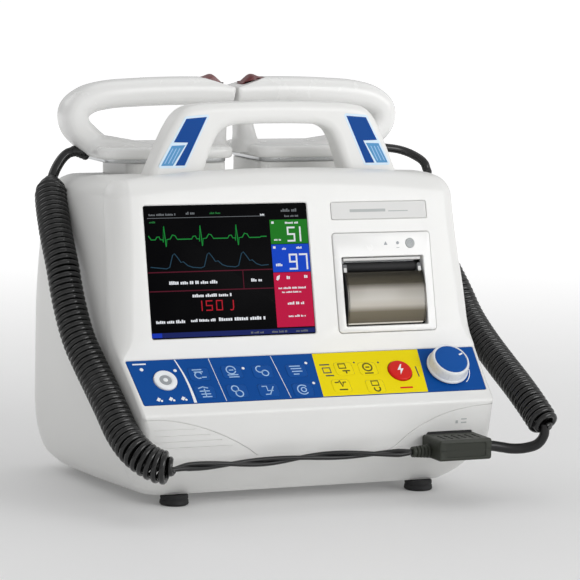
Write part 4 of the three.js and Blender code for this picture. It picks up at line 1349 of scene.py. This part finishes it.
def digit(colour, figure, left, bottom, width, height, bar):
    """seven-bar figure; width, height and bar in mm"""
    x0, y0 = on_screen(left, bottom)
    x1, y1, middle = x0 + width, y0 + height, y0 + height / 2
    bars = {"a": (x0, x1, y1 - bar, y1), "g": (x0, x1, middle - bar / 2, middle + bar / 2),
            "d": (x0, x1, y0, y0 + bar), "f": (x0, x0 + bar, middle, y1),
            "b": (x1 - bar, x1, middle, y1), "e": (x0, x0 + bar, y0, middle),
            "c": (x1 - bar, x1, y0, middle)}
    for key in BARS[figure]:
        a, b, c, d = bars[key]
        # each bar has its own height, so that overlapping faces don't coincide
        top = HIGH + 0.004 * ord(key) / 100
        lit_parts[colour].append(block(a + 0.05, b - 0.05, c + 0.05, d - 0.05, LIT_BACK, top,
                                       place=on_panel))


# status line
words(LOW, [("dim", 0.03, 0.20, 0.925, 1.7, 1), ("dim", 0.255, 0.31, 0.93, 2.0, 2),
            ("dgreen", 0.40, 0.47, 0.93, 1.6, 3), ("white", 0.71, 0.745, 0.91, 1.4, 4),
            ("dim", 0.84, 0.95, 0.935, 2.4, 5), ("dim", 0.86, 0.95, 0.895, 1.6, 6)])
field("dim", 0.02, 0.74, 0.905, 0.909)

# electrocardiogram: one beat as (across from its peak, up from the base line)
ECG_BASE, ECG_PEAKS = 0.745, (0.115, 0.335, 0.555)
ECG_BEAT = [(-0.055, 0), (-0.045, 0.02), (-0.032, 0.022), (-0.024, 0), (-0.012, 0),
            (-0.008, -0.02), (0, 0.10), (0.008, -0.055), (0.014, 0), (0.035, 0.004),
            (0.05, 0.034), (0.065, 0.028), (0.078, 0)]
PULSE_BASE, PULSE_PEAKS = 0.525, (0.165, 0.375, 0.585)
PULSE_BEAT = [(-0.05, 0), (-0.03, 0.01), (-0.008, 0.10), (0.004, 0.112), (0.02, 0.085),
              (0.04, 0.045), (0.055, 0.05), (0.08, 0.02), (0.11, 0.006)]


def beats(base, start, peaks, beat, end):
    """points of a wave: lead-in, repeated beats, lead-out"""
    middle = [(peak + dx, dy) for peak in peaks for dx, dy in beat]
    return [(x, base + dy) for x, dy in start + middle + end]


trace("ecg", beats(ECG_BASE, [(0.02, 0.03), (0.035, 0)], ECG_PEAKS, ECG_BEAT,
                   [(0.70, 0), (0.705, 0.006), (0.74, 0.006)]), 0.8)
words(LOW, [("dgreen", 0.03, 0.07, 0.87, 1.6, 8)])
trace("pleth", beats(PULSE_BASE, [(0.02, 0.015)], PULSE_PEAKS, PULSE_BEAT, [(0.74, 0.01)]), 0.7)

# value blocks down the right side
for colour, bottom, top in (("green", 0.69, 0.875), ("blue", 0.475, 0.686),
                            ("crimson", 0.055, 0.471)):
    field(colour, 0.765, 0.998, bottom, top)
field("white", 0.775, 0.79, 0.845, 0.862, HIGH)
words(HIGH, [("white", 0.86, 0.95, 0.843, 1.8, 9)])
digit("white", "5", 0.868, 0.705, 6.6, 11.4, 1.35)
digit("white", "1", 0.905, 0.705, 6.6, 11.4, 1.35)
words(HIGH, [("white", 0.785, 0.83, 0.715, 1.6, 10)])
field("white", 0.775, 0.79, 0.655, 0.672, HIGH)
words(HIGH, [("white", 0.83, 0.87, 0.645, 1.8, 11), ("white", 0.92, 0.96, 0.65, 1.8, 12)])
digit("white", "9", 0.868, 0.49, 7.0, 12.2, 1.4)
digit("white", "7", 0.932, 0.49, 7.0, 12.2, 1.4)
words(HIGH, [("white", 0.785, 0.84, 0.52, 2.2, 13)])
trace("white", [(0.785, 0.415), (0.79, 0.44), (0.80, 0.45), (0.795, 0.425), (0.785, 0.415)],
      1.3, HIGH)
words(HIGH, [("white", 0.845, 0.87, 0.42, 2.4, 14), ("white", 0.955, 0.985, 0.425, 2.4, 15),
             ("white", 0.79, 0.97, 0.345, 1.7, 16), ("white", 0.81, 0.94, 0.315, 1.4, 17),
             ("white", 0.84, 0.95, 0.225, 2.3, 18), ("white", 0.84, 0.95, 0.13, 1.7, 19)])

# message band, energy figure and bottom line
field("wine", 0.0, 0.762, 0.495, 0.503)
field("wine", 0.0, 0.762, 0.352, 0.36)
field("wine", 0.575, 0.58, 0.36, 0.495)
words(LOW, [("white", 0.125, 0.43, 0.405, 2.5, 20), ("white", 0.625, 0.70, 0.41, 2.5, 21),
            ("white", 0.26, 0.51, 0.305, 2.5, 22)])
for i, figure in enumerate("150"):
    digit("red", figure, 0.275 + 0.062 * i, 0.20, 5.4, 7.8, 0.85)
trace("red", [(0.485, 0.205), (0.492, 0.20), (0.502, 0.205), (0.505, 0.22), (0.505, 0.275)],
      0.85, HIGH)
words(LOW, [("white", 0.03, 0.22, 0.115, 2.4, 23), ("white", 0.24, 0.40, 0.12, 2.2, 24),
            ("white", 0.41, 0.71, 0.12, 3.0, 25)])
field("navy", 0.0, 0.998, 0.008, 0.045)
field("mid", 0.0, 0.06, 0.010, 0.043, HIGH)
words(HIGH, [("dim", 0.60, 0.68, 0.016, 1.6, 26), ("dim", 0.73, 0.83, 0.016, 1.6, 27),
             ("dim", 0.88, 0.96, 0.016, 1.6, 28)])
for key, parts in lit_parts.items():
    put(make("screen_" + key, merge(parts), LIT[key][0], 20), "device", "screen_glass")

# ------------------------------------------------------------------ name plate
put(multi("name_strip", [
    (stack(rrect(32.5, 112.5, 85.7, 98.6, 1.3, 4), [(0, -1.0), (0, -0.25), (-0.2, -0.05)],
           on_panel), "plate_grey"),
    (block(48, 78, 91.0, 93.2, -0.1, 0.0, place=on_panel), "print_mid_grey"),
    (block(80.5, 97, 91.0, 91.7, -0.1, 0.0, place=on_panel), "print_mid_grey"),
]), "device", "plate_grey", "name_plate")


# ------------------------------------------------------------------ keypad overlay
def key_hole(x, up, width):
    half, tall = width / 2 + KEY_GAP, KEY_HEIGHT / 2 + KEY_GAP
    return prism(rrect(x - half, x + half, up - tall, up + tall, 2.6, 5), -6, 5, on_keypad)


blue_holes = [key_hole(x, up, BLUE_WIDTH) for x, up in BLUE_KEYS]
yellow_holes = [key_hole(x, up, YELLOW_WIDTH) for x, up in YELLOW_KEYS]
power_hole, shock_hole, knob_hole = [
    disc(*centre, radius, -6, 5, n, on_keypad)
    for centre, radius, n in ((POWER, 9.4, 56), (SHOCK, 10.0, 56), (KNOB, 6.0, 40))]
sheet = round_poly([(-139.4, 1.0), (139.4, 1.0), (142.6, 42.9), (-142.6, 42.9)], 1.2)
overlay = make("overlay_sheet", stack(sheet, [(0, -1.2), (0, 0.0), (-0.12, 0.1)], on_keypad),
               "overlay_blue")
cut(overlay, merge(blue_holes + yellow_holes + [power_hole, shock_hole, knob_hole]))
put(overlay, "device", "overlay", "keypad_overlay")
yellow = make("overlay_yellow_field", stack(
    [(3.4, 1.3), (90.2, 1.3), (95.2, 42.6), (7.0, 42.6)],
    [(0, 0.02), (0, 0.14), (-0.04, 0.18)], on_keypad), "overlay_yellow")
cut(yellow, merge(yellow_holes + [shock_hole]))
put(yellow, "device", "overlay")

WHITE_PRINT = (0.06, 0.2)           # bottom and top of the print on blue
FIELD_PRINT = (0.15, 0.24)          # and on the yellow field


def white_lines():
    divider = curve([(-104.2, 42.5), (-102.6, 36), (-100.9, 28), (-99.8, 19), (-99.3, 10),
                     (-99.2, 1.5)], 40)
    lines = [ribbon(divider, np.linspace(0.8, 2.3, 41), *WHITE_PRINT)]
    for top, foot in ((-77.2, -74.4), (-27.0, -22.7)):
        slanted = [(foot + (top - foot) * (v / 40.5), v) for v in np.linspace(1.8, 42.2, 12)]
        lines.append(ribbon(slanted, 0.42, *WHITE_PRINT))
    lines.append(block(-138.2, -127.6, 38.9, 40.1, *WHITE_PRINT))
    lines.append(disc(-132.4, 34.4, 1.45, *WHITE_PRINT))
    for x in (-126.4, -116.8, -107.2):
        lines.append(ribbon([(x - 1.5, 4.6), (x + 0.4, 7.2)], 2.3, *WHITE_PRINT))
        lines.append(disc(x + 1.5, 4.6, 0.95, *WHITE_PRINT))
    for x, up, radius in ((-106.6, 32.2, 1.3), (-52.4, 31.6, 1.15), (-0.6, 34.0, 1.15),
                          (-0.4, 14.6, 1.15)):
        lines.append(disc(x, up, radius, *WHITE_PRINT))
    # short arc at the lower right of the knob
    lines.append(ribbon(circle(*KNOB, 18.4, 72)[62:72], 0.6, *WHITE_PRINT))
    return placed(merge(lines), on_keypad)


def dark_marks():
    marks = [block(87.4, 88.4, 16, 26, *FIELD_PRINT)]
    for points, closed in (([(9.6, 31.4), (17.8, 31.4)], False),
                           ([(11.0, 28.4), (17.0, 28.4), (17.0, 23.6), (11.0, 23.6)], True),
                           ([(11.6, 20.8), (18.4, 20.8)], False)):
        marks.append(ribbon(points, 1.15, *FIELD_PRINT, closed))
    marks += [disc(58.4, 31.4, 0.8, *FIELD_PRINT), disc(38.6, 32.4, 0.8, *FIELD_PRINT)]
    return placed(merge(marks), on_keypad)


red_mark = block(68.6, 79.0, 5.4, 6.9, *FIELD_PRINT, place=on_keypad)
put(make("overlay_white_lines", white_lines(), "print_white"), "device", "overlay")
put(make("overlay_red_mark", red_mark, "shock_red"), "device", "overlay")
put(make("overlay_dark_mark", dark_marks(), "print_dark"), "device", "overlay")


# ------------------------------------------------------------------ keys
# strokes of the pictograms: (points about the key centre, closed)
def bar(x0, x1, y):
    return [(x0, y), (x1, y)], False


def line(*points):
    return points, False


def loop(*points):
    return points, True


def bow(*arc_values):
    return arc(*arc_values), False


def hoop(cx, cy, r, n):
    return arc(cx, cy, r, 0, 360, n)[:-1], True


BLUE_GLYPHS = [
    [bar(-4.6, 3.0, 4.0), bow(-0.6, -1.2, 2.9, 20, 300, 16), bar(1.4, 5.2, -3.2),
     bar(-3.6, 3.6, 1.9)],
    [line((-4.4, 3.6), (-0.6, 5.0), (3.4, 3.6)), bar(-4.0, 4.0, 1.0), bar(-3.4, 4.2, -1.8),
     bar(-3.0, 4.4, -4.4), line((0.2, -4.4), (0.2, 3.2))],
    [bow(-0.4, 1.6, 3.6, 0, 345, 28), bar(-4.2, 4.2, -3.0), bar(-3.6, 4.6, -5.0),
     bar(-2.0, 1.6, 1.6)],
    [hoop(-1.2, 2.3, 2.7, 24), hoop(1.2, -2.4, 2.9, 24)],
    [bow(-1.8, 2.2, 2.9, 60, 330, 24), hoop(1.8, -1.6, 2.6, 24)],
    [line((-4.6, 3.8), (-0.8, 3.8), (-0.8, -0.4), (3.8, -0.4)),
     line((-3.4, -3.8), (0.4, -3.8), (4.6, 3.4))],
    [bar(-4.8, 4.0, 4.2), bar(-4.2, 4.4, 1.8), bar(-3.8, 4.6, -0.8), bar(-3.2, 1.4, -3.4)],
    [bow(0, 0, 4.3, 40, 320, 28), hoop(0.6, 0, 2.0, 20)],
]
YELLOW_GLYPHS = [
    [loop((-3.8, 4.6), (1.8, 4.6), (1.8, 0.4), (-3.8, 0.4)), bar(-1.8, 4.4, -2.2),
     line((1.0, -4.8), (1.0, -2.2))],
    [line((-4.6, 3.2), (-1.8, 3.2), (-0.6, 5.0), (1.0, -1.0), (2.2, 3.2), (4.6, 3.2)),
     bar(-2.8, 4.0, -3.8)],
    [hoop(0, 1.4, 3.6, 26), bar(-3.8, 3.4, -4.4), bar(-1.6, 1.6, 1.4)],
    [loop((-2.6, 4.8), (3.0, 4.8), (3.0, 0.6), (-2.6, 0.6)), bow(0.6, -2.6, 2.4, 150, 400, 20)],
]


def keys(colour, places, glyphs, width, ink, stroke):
    for i, ((x, up), glyph) in enumerate(zip(places, glyphs)):
        cap = rrect(x - width / 2, x + width / 2, up - KEY_HEIGHT / 2, up + KEY_HEIGHT / 2,
                    2.5, 5)
        parts = [(stack(cap, [(0, -4), (0, 0.16), (-0.2, 0.34), (-0.7, 0.42)], on_keypad),
                  "key_" + colour)]
        for points, closed in glyph:
            mark = ribbon(np.array(points) + (x, up), stroke, 0.34, 0.5, closed)
            parts.append((placed(mark, on_keypad), ink))
        node = "key_%s_%d" % (colour, i + 1)
        put(multi("cap_%s_%d" % (colour, i + 1), parts), node, "key_" + colour, node)


def power_button():
    place = shifted(on_keypad, *POWER)
    ring = rounded([(0, -4), (9.0, -4), (9.0, 1.0), (8.3, 1.6), (5.4, 1.6), (4.9, 1.2),
                    (4.7, 0.8), (0, 0.8)], 0.3, 3)
    well = [(0, 0.7), (4.6, 0.7), (4.6, 0.95), (3.9, 1.05), (0, 1.05)]
    # painted highlight: the small centre dome is white, standing in for the glint on the grey
    # centre
    dot = rounded([(0, 0.9), (1.9, 0.9), (1.7, 1.35), (0, 1.5)], 0.15, 2)
    put(multi("power_ring", [(lathe(ring, place, 64), "print_white"),
                             (lathe(well, place, 48), "print_grey"),
                             (lathe(dot, place, 32), "print_white")], 35),
        "power_button", "power_white", "power_button")


def shock_button():
    cap = rounded([(0, -4), (9.6, -4), (9.6, 1.0), (8.6, 1.85), (5, 2.0), (0, 2.0)], 0.5, 4)
    bolt = np.array([(1.2, 5.4), (-2.9, -0.3), (-0.3, -0.3), (-1.7, -5.4), (2.9, 0.9),
                     (0.3, 0.9), (2.3, 5.4)]) * 0.92 + SHOCK
    put(multi("shock_cap", [(lathe(cap, shifted(on_keypad, *SHOCK), 72), "shock_red"),
                            (prism(ccw(bolt), 1.8, 2.1, on_keypad), "print_white")], 35),
        "shock_button", "shock_red", "shock_button")


def energy_knob():
    """white skirt with grip ribs, blue cap with a white pointer"""
    place = shifted(on_keypad, *KNOB)
    skirt = rounded([(0, 0.8), (15.9, 0.8), (16.5, 1.4), (16.5, 2.6), (16.0, 3.2), (15.6, 3.6),
                     (15.0, 9.6), (14.5, 10.8), (13.9, 11.3), (13.2, 11.2), (13.0, 10.7),
                     (0, 10.7)], 0.4, 4)
    cap = rounded([(0, 10.5), (12.9, 10.5), (12.8, 11.1), (12.1, 11.4), (0, 11.5)], 0.3, 3)
    parts = [(lathe(skirt, place, 96), "knob_white"), (lathe(cap, place, 80), "key_blue")]
    rib, rib_faces = block(14.8, 15.6, -0.28, 0.28, 4.4, 9.4)
    rib[:, 0] -= np.where(rib[:, 2] > 8, 0.45, 0)     # lean in with the skirt
    for k in range(36):
        a = math.radians(k * 10)
        x = rib[:, 0] * math.cos(a) - rib[:, 1] * math.sin(a)
        y = rib[:, 0] * math.sin(a) + rib[:, 1] * math.cos(a)
        parts.append(((place(np.stack([x, y, rib[:, 2]], 1)), rib_faces), "knob_white"))
    a = math.radians(24)
    pointer = ribbon([(r * math.cos(a), r * math.sin(a)) for r in (8.4, 11.8)],
                     1.3, 11.2, 11.58)
    parts.append((placed(pointer, place), "print_white"))
    put(multi("knob_body", parts, 35), "energy_knob", "knob_blue", "energy_knob")


keys("blue", BLUE_KEYS, BLUE_GLYPHS, BLUE_WIDTH, "print_pale", 0.9)
keys("yellow", YELLOW_KEYS, YELLOW_GLYPHS, YELLOW_WIDTH, "print_olive", 1.2)
power_button()
shock_button()
energy_knob()

# ------------------------------------------------------------------ printer
FEED = (96.3, 66.2)                 # feed button on the panel
ROLL = panel_along_x(up=25, out=-25)
PLATEN = panel_along_x(up=49.4, out=-6.4)


def printer_bezel():
    bezel = make("printer_bezel", stack(
        rrect(PRINTER_LEFT, PRINTER_RIGHT, -0.8, 74.9, 2.5, 5),
        [(0, -5), (0, 0.2), (-0.25, 0.65), (-0.7, 0.8)], on_panel), "paddle_white")
    cut(bezel, stack(rrect(38, 106.6, 3.9, 56.6, 0.8, 3),
                     [(0, -9), (0, 0.1), (0.5, 0.8), (0.5, 5)], on_panel))
    cut(bezel, disc(*FEED, 4.0, 0.2, 5, 48, on_panel))
    put(bezel, "device", "housing_white", "printer_frame")


def feed_button():
    """round button and the small marks beside it"""
    button = rounded([(0, 0.1), (3.8, 0.1), (3.8, 0.9), (3.3, 1.15), (0, 1.2)], 0.2, 3)
    marks = [ribbon(arc(*FEED, 2.0, -60, 200, 20), 0.45, 1.1, 1.26),
             ribbon([FEED, (98.9, 68.4)], 0.45, 1.1, 1.26),
             prism([(74.0, 65.2), (77.2, 65.2), (75.6, 68.0)], 0.75, 0.9),
             disc(85.8, 66.6, 1.2, 0.75, 0.95),
             ribbon([(84.6, 62.9), (87.0, 62.9)], 0.4, 0.75, 0.9)]
    parts = [(lathe(button, shifted(on_panel, *FEED), 40), "print_mid_grey")]
    parts += [(placed(mark, on_panel), "print_grey") for mark in marks]
    put(multi("printer_feed_button", parts, 35), "device", "plate_grey")


def printer_lid():
    """tinted arc with end cheeks, side clips and cross bars"""
    a = np.radians(np.linspace(-28, 24, 40))
    outer, inner = [np.stack([27.0 + r * np.sin(a), -40.0 + r * np.cos(a)], 1)
                    for r in (44, 42.2)]
    window = stack(np.vstack([outer, inner[::-1]]),
                   [(-0.3, 0.2), (0, 0.6), (0, 65.4), (-0.3, 65.8)], panel_along_x(39.3))
    put(make("lid_window", window, "tinted_window", 40), "printer_lid", "tinted_window",
        "printer_lid")
    cheek = np.vstack([outer, [(45.2, -9.2), (6.5, -9.2)]])[::-1]
    parts = [(prism(cheek, 0, 1.6, panel_along_x(x)), "black_plastic") for x in (39.25, 103.75)]
    for x0, x1 in ((39.3, 42.6), (102.0, 105.3)):
        parts.append((block(x0, x1, 41.2, 51.2, -9.2, -1.4, 0.8, on_panel),
                      "dark_grey_plastic"))
        parts.append((block(x0 + 0.5, x1 - 0.5, 43.4, 48.6, -1.6, -0.9, 0.5, on_panel),
                      "plate_grey"))
    parts.append((block(40.9, 103.7, 41.9, 43.6, -4.6, -1.6, place=on_panel),
                  "dark_grey_plastic"))
    parts.append((block(40.9, 103.7, 5.4, 6.6, -4.4, -1.9, place=on_panel), "thermal_paper"))
    put(multi("lid_frame", parts, 35), "printer_lid", "black_plastic")


def printer_inside():
    platen = rounded([(0, 41.4), (2.0, 41.4), (2.0, 42.8), (3.8, 42.9), (3.8, 101.7),
                      (2.0, 101.8), (2.0, 103.2), (0, 103.2)], 0.2, 2)
    put(make("platen_sleeve", lathe(platen, PLATEN, 40), "foot_rubber", 35),
        "platen_roller", "black_rubber", "platen_roller")
    paper = [(6.3, 42.0), (19.6, 42.0), (20, 42.4), (20, 101.6), (19.6, 102.0), (6.3, 102.0)]
    core = [(5.2, 42.3), (6.25, 42.3), (6.25, 101.7), (5.2, 101.7)]
    put(multi("paper_coil", [(lathe_ring(paper, ROLL, 80), "thermal_paper"),
                             (lathe_ring(core, ROLL, 48), "dark_grey_plastic")], 35),
        "paper_roll", "paper", "paper_roll")
    tear = make("tear_edge", stack(rrect(39.8, 104.8, 53.8, 55.9, 0.4, 2),
                                   [(0, -4), (0, -0.9), (-0.25, -0.6)], on_panel), "plate_grey")
    cut(tear, merge([prism([(40.6 + i, 53.5), (41.4 + i, 53.5), (41.0 + i, 54.2)], -1.4, 2,
                           on_panel) for i in range(64)]))
    put(tear, "device", "zinc_steel", "tear_bar")
    well = make("printer_well", prism(rrect(37.2, 107.4, 3.0, 57.4, 1.2, 3), -8.5, -5.1,
                                      on_panel), "black_plastic")
    cut(well, prism(rrect(38.6, 106.0, 4.4, 56.2, 0.8, 3), -20, 5, on_panel))
    put(well, "device", "black_plastic")


printer_bezel()
feed_button()
printer_lid()
printer_inside()


# ------------------------------------------------------------------ rear fittings
def battery_pack():
    case = make("battery_case", stack(
        rrect(20.3, 111.7, 22.3, 79.7, 3, 6),
        [(-0.8, 92.2), (0, 93), (0, 189.6), (-0.4, 190.4), (-1.0, 190.7)], facing_rear),
        "case_white")
    cut(case, stack(rrect(44, 88, 40, 62, 4, 6),
                    [(-1, 186.5), (0, 190.0), (0.6, 191), (0.6, 200)], facing_rear))
    for k in range(4):
        slot = rrect(50, 82, 43.6 + k * 4.4, 45.2 + k * 4.4, 0.7, 3)
        cut(case, prism(slot, 185.6, 195, facing_rear))
    put(case, "battery_pack", "dark_grey_plastic", "battery_pack")
    latch = stack(rrect(58, 74, 66, 76, 1.6, 4), [(0, 189.5), (0, 190.6), (-0.3, 190.8)],
                  facing_rear)
    put(make("battery_latch", latch, "dark_grey_plastic"), "battery_pack", "dark_grey_plastic")


def mains_inlet():
    shell = make("inlet_shell", stack(rrect(-104, -70, 36, 62, 2.2, 5),
                                      [(0, 168), (0, 190.4), (-0.4, 190.9)], facing_rear),
                 "black_plastic")
    mouth = round_poly([(-98, 41), (-76, 41), (-76, 53), (-80.5, 57), (-93.5, 57), (-98, 53)],
                       1.0, 3)
    cut(shell, stack(mouth, [(0, 174), (0, 190.5), (0.4, 191), (0.4, 200)], facing_rear))
    put(shell, "device", "black_plastic", "mains_inlet")
    pins = merge([stack(rrect(x - 1, x + 1, z - 2.4, z + 2.4, 0.3, 2),
                        [(0, 173), (0, 186), (-0.3, 186.6)], facing_rear)
                  for x, z in ((-94, 48), (-87, 50.6), (-80, 48))])
    put(make("inlet_pins", pins, "zinc_steel"), "device", "zinc_steel")


battery_pack()
mains_inlet()

# ------------------------------------------------------------------ CAD pieces kept as they are
for node, name in (("display_module", "dark_grey_plastic"), ("print_head", "zinc_steel"),
                   ("key_board", "circuit_board"), ("knob_encoder", "dark_grey_plastic"),
                   ("chassis_plate", "sheet_aluminium"), ("main_board", "circuit_board"),
                   ("charger_board", "circuit_board"),
                   ("discharge_capacitor", "dark_grey_plastic"),
                   ("waveform_inductor", "zinc_steel"), ("loudspeaker", "black_plastic")):
    slots = NODES[node].data.materials
    slots.clear()
    slots.append(MAT[name])

# ------------------------------------------------------------------ stage, in metres
scene = bpy.context.scene


def stage_floor():
    """pale floor with painted shade and glow: darker round the device, lighter and glowing with
    distance
    """
    data = bpy.data.meshes.new("floor")
    data.from_pydata([(-60, -60, 0), (60, -60, 0), (60, 60, 0), (-60, 60, 0)], [],
                     [(0, 1, 2, 3)])
    floor = bpy.data.objects.new("floor", data)
    scene.collection.objects.link(floor)
    g = material("floor_pale")
    radius = g.node("VectorMath", {0: g.coords()}, operation="LENGTH").outputs["Value"]
    uneven = g.node("Math", {0: g.noise(3.0, detail=3.0), 1: 0.03, 2: radius},
                    operation="MULTIPLY_ADD").outputs["Value"]
    # painted shade round the device, giving way to a painted glow further off
    far = g.span(uneven, 0.0, 1.0, start=0.15, end=2.2, interpolation_type="SMOOTHSTEP")
    g.surface({"Base Color": g.ramp(far, [(0.0, (0.76, 0.76, 0.76)), (1.0, (0.94, 0.94, 0.94))]),
               "Emission Strength": g.span(far, 0.08, 0.50),
               "Emission Color": (1, 1, 1, 1), "Roughness": 0.6})
    data.materials.append(MAT["floor_pale"])


def white_world():
    """white surround, brighter towards the right, front and top"""
    world = bpy.data.worlds.new("world")
    scene.world = world
    g = Graph(world)
    facing = g.node("VectorMath", {0: g.coords("Generated"), 1: (0.68, -0.62, 0.30)},
                    operation="DOT_PRODUCT").outputs["Value"]
    g.feed(g.tree.nodes["Background"], {
        "Strength": g.span(facing, 0.34, 0.76, start=-1, end=1), "Color": (1, 1, 1, 1)})


def area_light(name, location, target, size, energy):
    light = bpy.data.lights.new(name, "AREA")
    light.energy = energy
    light.shape = "RECTANGLE"
    light.size, light.size_y = size
    light.color = (1, 1, 1)
    ob = bpy.data.objects.new(name, light)
    scene.collection.objects.link(ob)
    ob.location = location
    aim = Vector(target) - Vector(location)
    ob.rotation_euler = aim.to_track_quat("-Z", "Y").to_euler()


def camera(location, target, roll, lens):
    data = bpy.data.cameras.new("camera")
    data.lens = lens
    data.sensor_width = 36.0
    data.clip_end = 50
    ob = bpy.data.objects.new("camera", data)
    scene.collection.objects.link(ob)
    aim = (Vector(target) - Vector(location)).to_track_quat("-Z", "Y")
    ob.matrix_world = (Matrix.Translation(location) @ aim.to_matrix().to_4x4()
                       @ Matrix.Rotation(math.radians(roll), 4, "Z"))
    scene.camera = ob


stage_floor()
white_world()
area_light("key_light", (1.3, -1.9, 0.85), target=(0, 0, 0.15), size=(1.4, 1.0), energy=17)
area_light("fill_light", (-1.6, -1.2, 1.0), target=(0, 0, 0.15), size=(1.6, 1.2), energy=0.5)
area_light("rear_light", (-1.1, 1.6, 1.5), target=(0, 0, 0.2), size=(1.4, 1.0), energy=5)
area_light("top_light", (0.4, 0.6, 1.9), target=(0, 0, 0.2), size=(1.4, 1.4), energy=4)
camera((-0.9745, -2.192, 0.4505), target=(0.014, -0.004, 0.150), roll=1.293, lens=196.0)
scene.view_settings.view_transform = "Standard"
